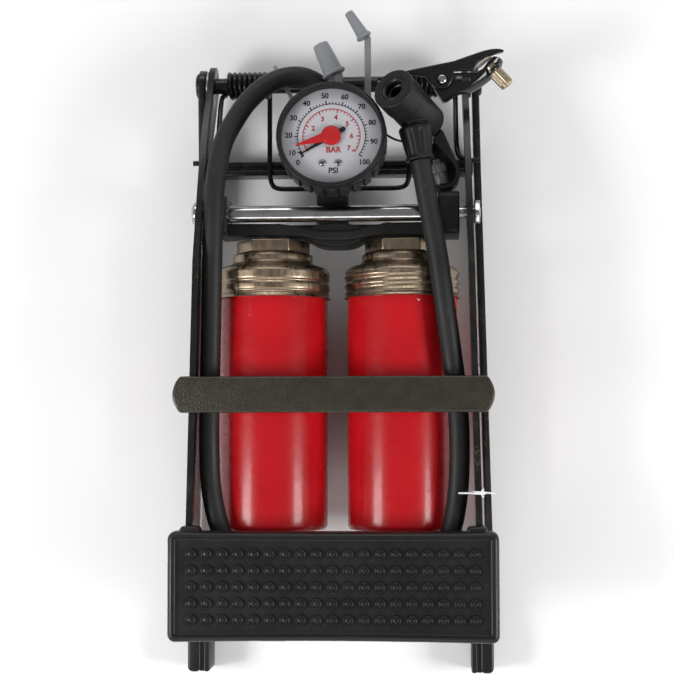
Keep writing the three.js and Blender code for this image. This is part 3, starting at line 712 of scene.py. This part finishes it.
def make_spring(word, side):
    """Half of the spring: half of its middle leg, one coil and its outer leg. The piece is put on no body.
    """
    y, z = HINGE.y, HINGE.z
    foot = z - COIL_R
    middle_leg = [
        (0, -11, foot), (12, -11, foot), (24, -11, foot), (COIL_IN - 6, -11, foot),
        (COIL_IN - 1.6, -10.2, foot), (COIL_IN, -6, foot), (COIL_IN, 8, foot + 0.2),
        (COIL_IN, 26, foot + 0.3),
    ]
    coil = []
    for i in range(COIL_TURNS * COIL_STEPS + 1):
        turn = 2 * math.pi * i / COIL_STEPS
        x = COIL_IN + COIL_PITCH * i / COIL_STEPS
        coil.append((x, y - COIL_R * math.sin(turn), z - COIL_R * math.cos(turn)))
    out = COIL_IN + COIL_TURNS * COIL_PITCH + 2 * WIRE_R + 0.4
    outer_leg = [
        (out - 0.6, y - 5.4, z - 2.2), (out, y - 5.2, z + 3), (out, 28, 32), (out, 14, 37.6),
        (out + 0.2, 2.4, 43.4), (out + 2.6, -1.8, 45), (67, -2, 45), (70.5, -2, 45),
    ]
    points = [(side * px, py, pz) for px, py, pz in middle_leg + coil + outer_leg]
    made = wire(f"spring_{word}", points, WIRE_R, 4, None, "spring_steel", [f"spring_arm_{word}"])
    if word == "left":
        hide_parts("torsion_spring")
    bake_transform(made)


for side_word, sign in SIDES.items():
    make_spring(side_word, sign)


# ---- lever frame ----
def make_lever_frame():
    for side in SIDES:
        refined(f"lever_bar_{side}", "black_paint", "lever", 0.6, 3)
    refined("cross_brace", "bronze_paint", "lever", 1.1, 4)
    refined("cylinder_bolt_nut", "chrome", "lever", 0.4)
    lo, hi = low("cylinder_bolt").x, high("cylinder_bolt").x
    profile = [
        (0, lo), (4.4, lo), (6, lo + 1.4), (6, lo + 3.2), (3, lo + 3.2), (3, hi - 0.8), (2.3, hi), (0, hi),
    ]
    bolt = turned(rounded(profile, 0.5), 40)
    build("swing_bolt", bolt, "lever", "chrome", ["cylinder_bolt"], on_x(BOLT.y, BOLT.z))


def rounded_loop(x0, x1, y0, y1, r, inset, z):
    corner = max(r - inset, 0.6)
    return [(x, y, z) for x, y in rounded_box(x0 + inset, x1 - inset, y0 + inset, y1 - inset, corner)]


def lofted(loops):
    """A closed bmesh through loops of points, with a flat face at each end."""
    bm = bmesh.new()
    rings = [[bm.verts.new(p) for p in loop] for loop in loops]
    count = len(rings[0])
    for a, b in zip(rings, rings[1:]):
        for i in range(count):
            j = (i + 1) % count
            bm.faces.new((a[i], a[j], b[j], b[i]))
    bm.faces.new(rings[0][::-1])
    bm.faces.new(rings[-1])
    return bm


def with_steps(loop, steps):
    """The loop again, with its two long straight runs cut into short steps."""
    result = []
    for a, b in zip(loop, loop[1:] + loop[:1]):
        result.append(a)
        if abs(b[0] - a[0]) > 50:
            result += [tuple(Vector(a).lerp(Vector(b), i / steps)) for i in range(1, steps)]
    return result


STUD_COLUMNS = 19
STUD_ROWS = 5
STUD_PITCH_X = 7.36
STUD_PITCH_Y = 7.62
STUD_FLOOR = 1.85
WAIST = 0.9
CUFF_X = 67.3


def waisted(point, half_width, middle_y):
    """Pulls the pad's two long sides in a little towards its middle, as the bent plate inside it does."""
    x, y, z = point
    pull = WAIST * (1 - (x / half_width) ** 2)
    return (x, y + pull if y < middle_y else y - 0.4 * pull, z)


def make_pad(lo, hi):
    ceiling = high("pedal_plate").z + 0.3
    top, skirt, floor = hi.z, lo.z, hi.z - STUD_FLOOR
    profile = [
        (3.1, ceiling), (3.1, skirt), (0.7, skirt), (0.1, skirt + 0.6), (0, skirt + 1.4), (0, top - 3),
        (0.15, top - 1.9), (0.6, top - 0.9), (1.4, top - 0.25), (2.3, top), (2.8, top - 0.1),
        (3.0, top - 0.5), (3.2, top - 1.4), (3.5, floor + 0.1), (4.2, floor), (9, floor),
    ]
    half_width, middle_y = (hi.x - lo.x) / 2, (lo.y + hi.y) / 2
    loops = []
    for inset, z in profile:
        loop = with_steps(rounded_loop(lo.x, hi.x, lo.y, hi.y, 3.8, inset, z), 24)
        loops.append([waisted(point, half_width, middle_y) for point in loop])
    build("pedal_rubber", lofted(loops), "lever", "black_rubber", ["pedal_pad"], smooth=50)


def make_studs(lo, hi):
    profile = rounded([
        (0, 0.9), (0.8, 0.85), (1.4, 0.6), (1.75, 0.5), (2.05, 1.25), (2.4, 1.3), (2.65, 0.8), (2.75, 0),
        (2.75, -0.4), (0, -0.4),
    ], 0.25)
    whole = bmesh.new()
    for column in range(STUD_COLUMNS):
        for row in range(STUD_ROWS):
            x = (column - (STUD_COLUMNS - 1) / 2) * STUD_PITCH_X
            y = (lo.y + hi.y) / 2 + (row - (STUD_ROWS - 1) / 2) * STUD_PITCH_Y
            place = Matrix.Translation((x, y, hi.z - STUD_FLOOR))
            gather(whole, to_mesh("stud", turned(profile, 24), place))
    piece("pedal_studs", from_bmesh("pedal_studs", whole), "lever", "black_rubber", smooth=50)


def make_pedal():
    lo, hi = low("pedal_pad"), high("pedal_pad")
    make_pad(lo, hi)
    make_studs(lo, hi)
    for word, side in SIDES.items():
        x = side * CUFF_X
        outline = rounded_box(x - 4.8, x + 4.8, hi.y - 4, hi.y + 2.3, 2.2)
        cuff = plate([outline], lo.z + 0.4, hi.z - 3, 1.6, 4)
        build(f"pedal_cuff_{word}", cuff, "lever", "black_rubber")


def make_tie():
    lo, hi = low("bundle_tie"), high("bundle_tie")
    y = (lo.y + hi.y) / 2
    top = hi.z - 0.4
    right = hi.x - 5.2
    left = right - 6.6
    loop = [
        (lo.x, y, top - 2), (lo.x + 0.6, y, top - 0.2), (lo.x + 5, y + 0.2, top), (left, y, top),
        (right - 1, y - 0.4, top), (right, y, top - 1.2), (right, y, lo.z + 1.5),
        (right - 1, y, lo.z + 0.4), (left + 1, y, lo.z + 0.4), (left, y + 0.6, lo.z + 1.5),
        (left, y + 0.7, top - 1.2),
        (left + 1, y + 0.7, top - 0.1), (right + 1, y + 0.3, top), (hi.x, y - 0.2, top - 0.1),
    ]
    wire("wire_tie", loop, 0.42, 3, "lever", "white_plastic", ["bundle_tie"])
    knot = []
    for step in range(11):
        turn = step * 1.9
        x, z = right - 1.6 + 0.7 * math.cos(turn), top + 0.4 * math.sin(turn)
        knot.append((x, y - 1.6 + step * 0.34, z))
    wire("wire_tie_knot", knot, 0.36, 3, "lever", "white_plastic")


make_lever_frame()
make_pedal()
make_tie()


# ---- cylinders ----
def make_barrel(word, centre):
    head, foot = high(f"barrel_{word}").y, low(f"barrel_{word}").y
    r = BARREL_R
    profile = rounded([
        (r - 1.5, head), (r - 1.5, foot + 1.6), (r - 6.7, foot + 1.6), (r - 6.7, foot), (r - 2.4, foot),
        (r - 0.7, foot + 0.5), (r, foot + 2.2), (r, foot + 6), (r, head), (r - 1.5, head),
    ], 0.5)
    shell = turned(profile, 128)
    name = f"barrel_shell_{word}"
    build(name, shell, "cylinders", "red_paint", [f"barrel_{word}"], on_y(centre.x, centre.z))
    refined(f"rod_guide_{word}", "black_plastic", "cylinders", 0.5)
    refined(f"hex_neck_{word}", "nickel", "cylinders", 0.5, 3)


CAP_R = 28.05
ROLL_TOP = 9.6
ROLL_DEPTH = 10.6
ROLL_STEPS = 30


def cap_profile(ring_y):
    """A rolled cap: a ring under the hexagon, a shoulder, then the rolled body, and a flared lip."""
    before = [
        (4, 1.4), (4, 0), (17.6, 0), (19.2, 0.5), (19.8, 1.6), (19.6, 3.0), (19.8, 4.4), (20.4, 5.2),
        (22, 5.9), (24.6, 6.6), (26.6, 7.6), (27.7, 9.0),
    ]
    body = [(CAP_R, ROLL_TOP + ROLL_DEPTH * i / ROLL_STEPS) for i in range(ROLL_STEPS + 1)]
    after = [
        (27.6, 20.6), (28.1, 21.6), (28.7, 22.3), (27.6, 22.4), (27.1, 20.8), (26.4, 10), (25.4, 8.6),
        (19.0, 6.6), (18.6, 1.6), (4, 1.4),
    ]
    return [(r, ring_y - depth) for r, depth in before + body + after]


def rib(h, centre, width, height):
    return height * math.exp(-(((h - centre) / width) ** 2))


def make_cap(word, centre, smooth_cap):
    """The left cap has two pressed grooves, and the right one is rolled like a thread."""
    ring_y = high(f"head_cap_{word}").y

    def roll(turn, r, h):
        depth = ring_y - h
        if r < 27 or depth < 9.2:
            return 0
        if smooth_cap:
            return rib(depth, 14.6, 0.8, -0.75) + rib(depth, 19.4, 0.7, -0.6)
        wave = math.sin(2 * math.pi * depth / 4.3 + turn - 0.6)
        fade = min(1, (depth - 9.2) / 2, (22.4 - depth) / 2)
        return (0.45 * wave - 0.15) * fade

    cap = turned(cap_profile(ring_y), 144, swell=roll)
    place = on_y(centre.x, centre.z)
    build(f"cap_{word}", cap, "cylinders", "nickel", [f"head_cap_{word}"], place, smooth=50)


def make_spacer():
    lo, hi = low("spacer_tube").x, high("spacer_tube").x
    spacer = turned(rounded([(3.3, lo), (4.1, lo), (4.1, hi), (3.3, hi), (3.3, lo)], 0.3), 64)
    build("spacer", spacer, "cylinders", "chrome", ["spacer_tube"], on_x(BOLT.y, BOLT.z))


BAR_TOP = 48.2
BAR_STEPS = 40
# Each ear: its inner face, how far it reaches towards the hinge, and its lowest and highest point.
EARS = {"left": (-52.8, -19.4, 30, 56), "right": (49.8, -18.2, 26, 57)}


def manifold_outline(sag, front):
    """The bar's front edge from its left end to its right end, sagging by sag at the middle."""
    lo, hi = low("manifold").x, high("manifold").x
    edge = []
    for i in range(BAR_STEPS + 1):
        x = lo + (hi - lo) * i / BAR_STEPS
        edge.append((x, front - sag * math.exp(-((x / 13.5) ** 4))))
    return edge


def make_manifold():
    lo, hi = low("manifold"), high("manifold")
    upper = manifold_outline(2.2, -38.6) + [
        (hi.x, -32.3), (26, -32.3), (20, -33.2), (14, -34.6), (7, -35.7), (0, -36), (-7, -35.8),
        (-14, -34.8), (-21, -33.4), (-28, -32.5), (lo.x, -32.3),
    ]
    lower = manifold_outline(5.0, -38.4) + [(hi.x, -32.6), (lo.x, -32.6)]
    hump = [(x / 2, -32.25 - 3.2 * ((x / 2 - 0.5) / 15) ** 2) for x in range(31, -30, -2)]
    hump += [(-14, -38), (14, -38)]
    bar = plate([upper], 40.6, BAR_TOP, 1.1)
    build("manifold_bar", bar, "cylinders", "black_plastic", ["manifold"])
    for name, outline, bottom, top, edge in (
        ("manifold_body", lower, lo.z, 43.4, 1.4),
        ("manifold_hump", hump, 36, 47.4, 0.5),
        ("manifold_arm", rounded_box(-9.6, 6, -34, 18, 2), 34, 44.8, 1),
    ):
        build(name, plate([outline], bottom, top, edge), "cylinders", "black_plastic")
    for word, (inner, rear, bottom, top) in EARS.items():
        x0, x1 = (lo.x, inner) if word == "left" else (inner, hi.x)
        ear = plate([rounded_box(-top, -bottom, -38.8, rear, 3.4)], x0, x1, 1.0)
        build(f"manifold_ear_{word}", ear, "cylinders", "black_plastic", place=on_x(0, 0))
    post = turned(rounded([(0, 43), (7.6, 43), (7.8, 44), (7.6, 50.4), (0, 50.4)], 0.5), 48)
    place = Matrix.Translation((GAUGE_PIVOT.x, GAUGE_PIVOT.y - 1.4, 0))
    build("manifold_post", post, "cylinders", "black_plastic", place=place)
    mark = rounded([(3.15, -0.3), (3.15, 0.1), (3.45, 0.12), (3.45, -0.3), (3.15, -0.3)], 0.08)
    place = Matrix.Translation((24.9, -35.6, BAR_TOP))
    build("manifold_mark", turned(mark, 40), "cylinders", "black_plastic", place=place)


for side_word, centre_point in BARRELS.items():
    make_barrel(side_word, centre_point)
    make_cap(side_word, centre_point, side_word == "left")
    refined(f"rod_hook_{side_word}", "zinc_steel", "rods", 0.4)
make_spacer()
make_manifold()


# ---- gauge ----
GAUGE_LEAN = 9
GAUGE_BOTTOM = 51.5
GAUGE_TOP = 74.5
DIAL_Z = GAUGE_TOP - 5.4
DIAL_R = 24.1
DIAL_SEAT = DIAL_Z - 0.3
GRIPS = 26
GRIP_HEIGHT = 1.25
PSI_PER_BAR = 14.5
FULL_SCALE = 100
NEEDLE_ANGLE = 211
POINTER_ANGLE = 195.5


def on_gauge(z=0):
    """Carries a shape made about Z, at its height before the gauge leans, to the leaning gauge's axis."""
    lean = Matrix.Rotation(-math.radians(GAUGE_LEAN), 4, "X")
    return Matrix.Translation(GAUGE_PIVOT) @ lean @ Matrix.Translation((0, 0, z - GAUGE_PIVOT.z))


def with_levels(profile, least_r):
    """The profile again, with its tall outer runs cut into six levels."""
    levels = []
    for a, b in zip(profile, profile[1:]):
        levels.append(a)
        if abs(b[1] - a[1]) > 4 and a[0] > least_r:
            levels += [(a[0], a[1] + (b[1] - a[1]) * i / 6) for i in range(1, 6)]
    return [*levels, profile[-1]]


def make_housing():
    bottom, seat, r = GAUGE_BOTTOM, DIAL_SEAT, GAUGE_R
    profile = rounded([
        (3.6, bottom), (r - 6.4, bottom), (r - 2.2, bottom + 3.2), (r - 1.5, bottom + 4.6),
        (r - 1.3, seat - 2.4), (r - 0.7, seat - 0.3), (r - 2.6, seat - 0.3), (r - 3, bottom + 5),
        (3.6, bottom + 5), (3.6, bottom),
    ], 0.5)

    def grip(turn, radius, h):
        if radius < r - 2.4 or h > seat - 1.4:
            return 0
        share = (turn / (2 * math.pi) * GRIPS) % 1
        return GRIP_HEIGHT if 0.18 < share < 0.82 else 0

    case = turned(with_levels(profile, r - 2.4), GRIPS * 11, swell=grip)
    build("gauge_case", case, "cylinders", "black_plastic", ["gauge_housing"], on_gauge(), smooth=30)


def make_bezel():
    top, seat, r = GAUGE_TOP, DIAL_SEAT, GAUGE_R
    rim = rounded([
        (r - 2.4, seat), (r - 0.2, seat), (r - 0.2, top - 2.6), (r - 0.4, top - 1.2), (r - 0.9, top - 0.55),
        (r - 1.15, top - 0.8), (r - 1.4, top - 0.25), (r - 1.8, top), (r - 2.1, top - 0.3),
        (r - 2.2, top - 1.4), (r - 2.45, top - 1.7), (r - 2.45, top - 2.0), (r - 2.2, top - 2.1),
        (r - 2.4, seat),
    ], 0.2)
    build("gauge_rim", turned(rim, 144), "cylinders", "black_plastic", ["gauge_bezel"], on_gauge())

    lens_top = top - 1.9
    glass = [
        (0, lens_top), (12, lens_top - 0.1), (r - 2.5, lens_top - 0.4), (r - 2.5, lens_top - 0.9),
        (12, lens_top - 0.7), (0, lens_top - 0.6),
    ]
    build("gauge_glass", turned(glass, 96), "cylinders", "lens", ["gauge_lens"], on_gauge())


def flat_strip(points, width, z, height=0.04):
    """A bmesh strip of a given width that follows flat points."""
    loops = []
    for i, point in enumerate(points):
        p = Vector(point)
        before, after = Vector(points[max(i - 1, 0)]), Vector(points[min(i + 1, len(points) - 1)])
        way = (after - before).normalized()
        across = Vector((-way.y, way.x)) * width / 2
        corners = ((-1, 0), (1, 0), (1, height), (-1, height))
        loops.append([(*(p + across * s), z + h) for s, h in corners])
    return lofted(loops)


def dial_angle(psi):
    """The dial's angle for a pressure. Its first tenth is squeezed together."""
    per_psi = 2.69
    if psi >= 10:
        return math.radians(180 - per_psi * (psi - 20))
    return math.radians(180 + per_psi * 10 + (10 - psi) * 0.9)


def polar(r, angle):
    return (r * math.cos(angle), r * math.sin(angle))


def lettering(text, x, y, height):
    curve = bpy.data.curves.new("letters", "FONT")
    curve.body = text
    curve.size = height / 0.69
    curve.align_x = "CENTER"
    curve.align_y = "CENTER"
    curve.extrude = 0.02
    curve.offset = 0.11
    curve.resolution_u = 4
    mesh = from_curve("letters", curve)
    mesh.transform(Matrix.Translation((x, y, 0.03)))
    return mesh


def printed(name, shapes, place, material):
    """One piece of many small bmeshes and meshes in mm."""
    whole = bmesh.new()
    for shape in shapes:
        gather(whole, from_bmesh("part", shape) if isinstance(shape, bmesh.types.BMesh) else shape)
    mesh = from_bmesh(name, whole)
    mesh.transform(Matrix.Scale(MM, 4) @ place)
    piece(name, mesh, "cylinders", material)


def print_scale(name, ink, arc_r, marks, tick_way, labels):
    """One scale: an arc, its long and short ticks, and its numbers, as one thin raised print."""
    first, last = marks[0][0], marks[-1][0]
    line = [polar(arc_r, dial_angle(first + (last - first) * i / 90)) for i in range(91)]
    shapes = [flat_strip(line, 0.42, 0)]
    for psi, long in marks:
        angle = dial_angle(psi)
        reach, width = (1.7, 0.62) if long else (1.1, 0.4)
        shapes.append(flat_strip([polar(arc_r, angle), polar(arc_r + tick_way * reach, angle)], width, 0))
    shapes += [lettering(*label) for label in labels]
    printed(name, shapes, on_gauge(DIAL_Z + 0.02), ink)


def psi_scale():
    """The black scale. A few numbers stand a little off their ticks."""
    nudge = {0: 0.06, 10: -0.06, 20: -0.03, 100: -0.08}
    labels = []
    for psi in range(0, FULL_SCALE + 1, 10):
        labels.append((str(psi), *polar(20.5, dial_angle(psi) + nudge.get(psi, 0)), 2.45))
    labels.append(("PSI", 1.0, -17.2, 2.7))
    marks = [(psi, psi % 10 == 0) for psi in range(0, FULL_SCALE + 1, 2)]
    print_scale("dial_scale_outer", "black_ink", 16.2, marks, 1, labels)


def bar_scale():
    """The red scale. Its last mark stands at the end of the black one."""
    labels = [(str(bar), *polar(9.6, dial_angle(bar * PSI_PER_BAR)), 2.35) for bar in range(1, 7)]
    labels += [("7", *polar(10.3, dial_angle(FULL_SCALE) - 0.02), 2.35), ("BAR", 1.0, -6.9, 2.7)]
    marks = [(fifth / 5 * PSI_PER_BAR, fifth % 5 == 0) for fifth in range(1, 35)] + [(FULL_SCALE, True)]
    print_scale("dial_scale_inner", "red_ink", 13.7, marks, -1, labels)


def make_dial():
    top = DIAL_Z
    r = DIAL_R
    disc = rounded([
        (1.2, top - 0.9), (r, top - 0.9), (r, top - 0.1), (r - 0.4, top), (1.2, top), (1.2, top - 0.9),
    ], 0.1)
    build("dial_plate", turned(disc, 96), "cylinders", "dial_face", ["gauge_dial"], on_gauge())
    psi_scale()
    bar_scale()
    for number, x in enumerate((-4.1, 3.4)):
        place = on_gauge(top) @ Matrix.Translation((x, -13.2, 0))
        head = turned(rounded([(0, 0), (1.7, 0), (1.75, 0.3), (1.2, 0.75), (0, 0.85)], 0.2), 28)
        build(f"dial_screw_{number}", head, "cylinders", "zinc_steel", place=place)
        slots = [
            flat_strip([polar(-0.9, turn), polar(0.9, turn)], 0.34, 0.72, 0.16)
            for turn in (0.5, 0.5 + math.pi / 2)
        ]
        printed(f"dial_screw_slot_{number}", slots, place, "black_plastic")


def blade(name, node, body, material, z, angle, tip, tail, hub, width):
    """A thin pointer about the gauge's axis: a pointed tip, a round hub and a blunt tail."""
    start = math.degrees(math.asin(width / hub))
    outline = [
        (tip, 0.22), *arc(0, 0, hub, start, 180 - start), (-tail, width), (-tail - 0.6, 0), (-tail, -width),
        *arc(0, 0, hub, 180 + start, 360 - start), (tip, -0.22),
    ]
    bm = plate([outline], z, z + 0.5, 0.1, 2)
    place = on_gauge() @ Matrix.Rotation(math.radians(angle), 4, "Z")
    build(name, bm, body, material, [node], place)


def make_pointers():
    blade("needle_blade", "gauge_needle", "needle", "black_paint", DIAL_Z + 0.3,
          NEEDLE_ANGLE, 17.2, 7.2, 2.6, 1.15)
    blade("pointer_blade", "set_pointer", "pointer", "pointer_red", DIAL_Z + 1.1,
          POINTER_ANGLE, 17.8, 4.0, 4.9, 2.3)
    cap = turned(rounded([(0, 0), (4.4, 0), (4.4, 0.35), (3.6, 0.7), (0, 0.8)], 0.3), 48)
    build("pointer_cap", cap, "pointer", "pointer_red", place=on_gauge(DIAL_Z + 1.55))


make_housing()
make_bezel()
make_dial()
make_pointers()


# ---- chuck ----
MOUTH = Vector((28.8, 28.2, 74))
HEEL = Vector((44.8, 15.6, 46.4))
CHUCK_R = 10.4
ON_NECK = placed(41.5, -3.9, 60, 9)
ON_ADAPTER = placed(51, -8.6, 46.4, 14)


def make_chuck():
    reach = (MOUTH - HEEL).length
    r = CHUCK_R
    place = along(HEEL, MOUTH)
    body = rounded([
        (0, 0), (r - 1.8, 0), (r - 0.5, 1.2), (r - 0.5, reach * 0.66), (r, reach * 0.68), (r, reach - 0.5),
        (r - 0.4, reach), (6.2, reach), (6.2, reach * 0.55), (0, reach * 0.55),
    ], 0.5)
    build("chuck_shell", turned(body, 96), "cylinders", "black_plastic", ["chuck_body"], place)
    seal = rounded([
        (6.1, reach * 0.56), (6.1, reach - 0.15), (5.2, reach - 0.2), (4.5, reach - 0.9),
        (4.2, reach - 2.2), (4.7, reach - 2.8), (4.7, reach - 4.2), (3.9, reach - 4.8),
        (3.9, reach * 0.56), (6.1, reach * 0.56),
    ], 0.3)
    build("chuck_seal", turned(seal, 64), "cylinders", "black_rubber", ["chuck_grommet"], place)
    neck = rounded([
        (2, 17.1), (5.6, 17.1), (5.6, 17.8), (6.6, 18.0), (6.6, 19.0), (5.7, 19.2), (5.7, 20), (6.5, 20.2),
        (6.5, 25), (2, 25), (2, 17.1),
    ], 0.2)
    build("chuck_neck", turned(neck, 64), "cylinders", "black_plastic", place=ON_NECK)


def make_sleeve():
    """The faceted sleeve that the hose's end is pushed into."""
    def facets(turn, radius, h):
        if radius < 6 or h < 1.8 or h > 14.2:
            return 0
        return -0.42 * max(0, math.cos(turn * 10)) ** 6

    sleeve = turned(rounded([
        (5.3, 3.4), (5.3, 0.6), (5.8, 0), (6.9, 0), (7.2, 0.5), (7.0, 1.2), (6.4, 2.2), (6.5, 3.6),
        (7.1, 8), (7.7, 12), (8.0, 14.0), (8.1, 14.8), (8.0, 15.6), (7.2, 16.6), (5.2, 16.8), (5.2, 5),
        (5.3, 3.4),
    ], 0.25), 120, swell=facets)
    return build("hose_sleeve", sleeve, "cylinders", "black_plastic", ["chuck_collar"], ON_NECK, smooth=40)


def make_adapter():
    """The spare valve adapter that is kept in the thumb lever."""
    def knurl(turn, radius, h):
        return 0.2 * math.cos(turn * 20) if 0.6 < h < 4.4 and radius > 3.4 else 0

    adapter = turned(rounded([
        (0, -6), (2.9, -6), (3.35, -5.5), (3.35, -0.5), (3.1, -0.1), (3.1, 0.2), (3.6, 0.5), (3.7, 1),
        (3.7, 2), (3.7, 3), (3.7, 4), (3.5, 4.8), (2.3, 5.2), (2.1, 6.9), (1.7, 7.2), (0, 7.2),
    ], 0.2), 160, swell=knurl)
    build("adapter_metal", adapter, "cylinders", "dull_metal", ["valve_adapter"], ON_ADAPTER)


make_chuck()
sleeve_piece = make_sleeve()
refined("chuck_lever", "black_plastic", "thumb_lever", 0.7, 3)
make_adapter()


# ---- clip-on adapter ----
NIPPLE_ROOT = Vector((74.8, 42.5, 55))
NIPPLE_TIP = Vector((84, 32.6, 55))
CLIP_PIN = (52.1, 34.8, 0)
CLIP_SPRING = (Vector((69.2, 41.9, 55)), Vector((75.8, 47.2, 55)))


def flange(name, inner, outer, top, bottom, thick):
    """The jaw's rolled rim: a bent strip that falls from the inner line to the outer one."""
    upper_line = catmull([(*p, top) for p in inner], 6)
    lower_line = catmull([(*p, bottom) for p in outer], 6)
    loops = []
    for a, b in zip(upper_line, lower_line):
        crest = [
            a.lerp(b, share) + Vector((0, 0, lift * (top - bottom)))
            for share, lift in ((0.12, 0.1), (0.4, 0.22), (0.75, 0.3))
        ]
        upper = [a - Vector((0, 0, 1.4)), a, *crest, b]
        loops.append(upper + [p - Vector((0, 0, thick)) for p in reversed(upper)])
    build(name, lofted(loops), "cylinders", "clip_black", smooth=60)


def make_jaw():
    rim = [(52.4, 24.9), (58, 28.2), (63.6, 31.2), (68.6, 35.2), (72, 39.2), (75, 43), (79, 46.2)]
    edge = [(53.4, 24.9), (60, 28.9), (66, 29.9), (71.4, 32.9), (76.4, 36.9), (80.4, 41.4), (81.7, 45)]
    outline = rim + [(77.1, 46.6), (74.3, 44.1), (72, 40.9), (68.8, 38.8), (50.9, 38.7), (47.5, 32.7)]
    jaw = plate([outline, rounded_box(58.2, 66, 34.6, 37.4, 1.3)], 51, 57.4, 0.25)
    build("clip_jaw_plate", jaw, "cylinders", "clip_black", ["clip_jaw"])
    flange("clip_flange", rim, edge, 57.7, 52.4, 1.2)


def make_clip_pin():
    pin = turned(rounded([
        (0, 49.8), (2.6, 49.8), (3, 50.2), (3, 50.7), (2, 50.7), (2, 61.9), (2.3, 61.9), (2.2, 62.5),
        (1.5, 63.0), (0.7, 63.1), (0, 62.8),
    ], 0.25), 36)
    build("clip_pin", pin, "cylinders", "chrome", ["clip_rivet"], Matrix.Translation(CLIP_PIN))


def make_nipple():
    reach = (NIPPLE_TIP - NIPPLE_ROOT).length
    place = along(NIPPLE_ROOT, NIPPLE_TIP)
    steps = 10

    def ribs(turn, radius, h):
        return 0.12 * math.cos(turn * 16) if radius > 3.2 and 3.8 < h < reach - 1.0 else 0

    profile = rounded([(0, 0), (2.6, 0), (3, 0.5), (3, 2.4), (2.5, 2.8), (2.5, 3.3), (3.3, 3.6)], 0.2)
    profile += [(3.4, 3.8 + (reach - 5.0) * i / steps) for i in range(steps + 1)]
    profile += rounded([
        (3.3, reach - 0.5), (2.8, reach), (1.4, reach), (1.4, reach * 0.4), (0, reach * 0.4),
    ], 0.15)
    nipple = turned(profile, 160, swell=ribs)
    build("nipple_brass", nipple, "cylinders", "brass", ["clip_nipple"], place)
    collar = rounded([(2.9, 2.2), (4.3, 2.2), (4.4, 3.6), (3.9, 4.4), (2.9, 4.4), (2.9, 2.2)], 0.3)
    build("nipple_collar", turned(collar, 40), "cylinders", "clip_black", place=place)


def make_clip_spring():
    turns, steps = 9, 12
    start, end = CLIP_SPRING
    across = (end - start).normalized().cross(Vector((0, 0, 1)))
    line = []
    for i in range(turns * steps + 1):
        turn = 2 * math.pi * i / steps
        offset = across * math.cos(turn) + Vector((0, 0, math.sin(turn)))
        line.append(start.lerp(end, i / (turns * steps)) + offset * 0.9)
    wire("clip_spring", line, 0.3, 3, "cylinders", "brass")


make_jaw()
refined("clip_lever", "clip_black", "clip_handle", 0.9, 3)
make_clip_pin()
make_nipple()
make_clip_spring()
tie_line = [(22, 11.4, 57), (25, 8.9, 57.6), (28.6, 6.6, 57.6), (33, 5.6, 56.6), (37, 5.4, 55)]
wire("adapter_wire", tie_line, 0.55, 3, "cylinders", "black_plastic")


# ---- nozzles and needle ----
def make_nozzle(node, name, place, profile, strap):
    build(name, turned(rounded(profile, 0.4), 64), "cylinders", "grey_plastic", [node], place)
    bm = plate([rounded_box(*strap, 1.2)], 45.6, 47.2, 0.4)
    build(f"{name}_strap", bm, "cylinders", "grey_plastic")


make_nozzle("cone_nozzle_wide", "nozzle_wide", placed(-0.4, 40.4, 49.6, 25), [
    (0, 6), (2, 6), (2, 0), (5.7, 0), (5.9, 0.8), (5.6, 1.6), (4.9, 1.9), (4.3, 12), (3.9, 16.2),
    (3.4, 16.6), (2, 16.6), (2, 8), (0, 8),
], (0, 3.4, 26, 42))
make_nozzle("cone_nozzle_narrow", "nozzle_narrow", placed(14.4, 58.6, 48.6, 32), [
    (0, 5), (1.2, 5), (1.2, 0), (3.6, 0), (3.9, 0.7), (3.7, 1.5), (3.1, 1.9), (2.5, 10), (2.2, 14.6),
    (1.9, 15), (1.2, 15), (1.2, 7), (0, 7),
], (14.2, 17.4, 22, 60))
needle_profile = rounded([
    (0, 0), (3.4, 0), (3.4, 2.8), (2.6, 3.2), (1.1, 4.4), (1, 5), (1, 21.6), (0.6, 22.6), (0, 22.6),
], 0.3)
build("needle_tube", turned(needle_profile, 40), "cylinders", "grey_plastic", ["ball_needle"],
      placed(-20.4, 27.4, 39.6, 28))
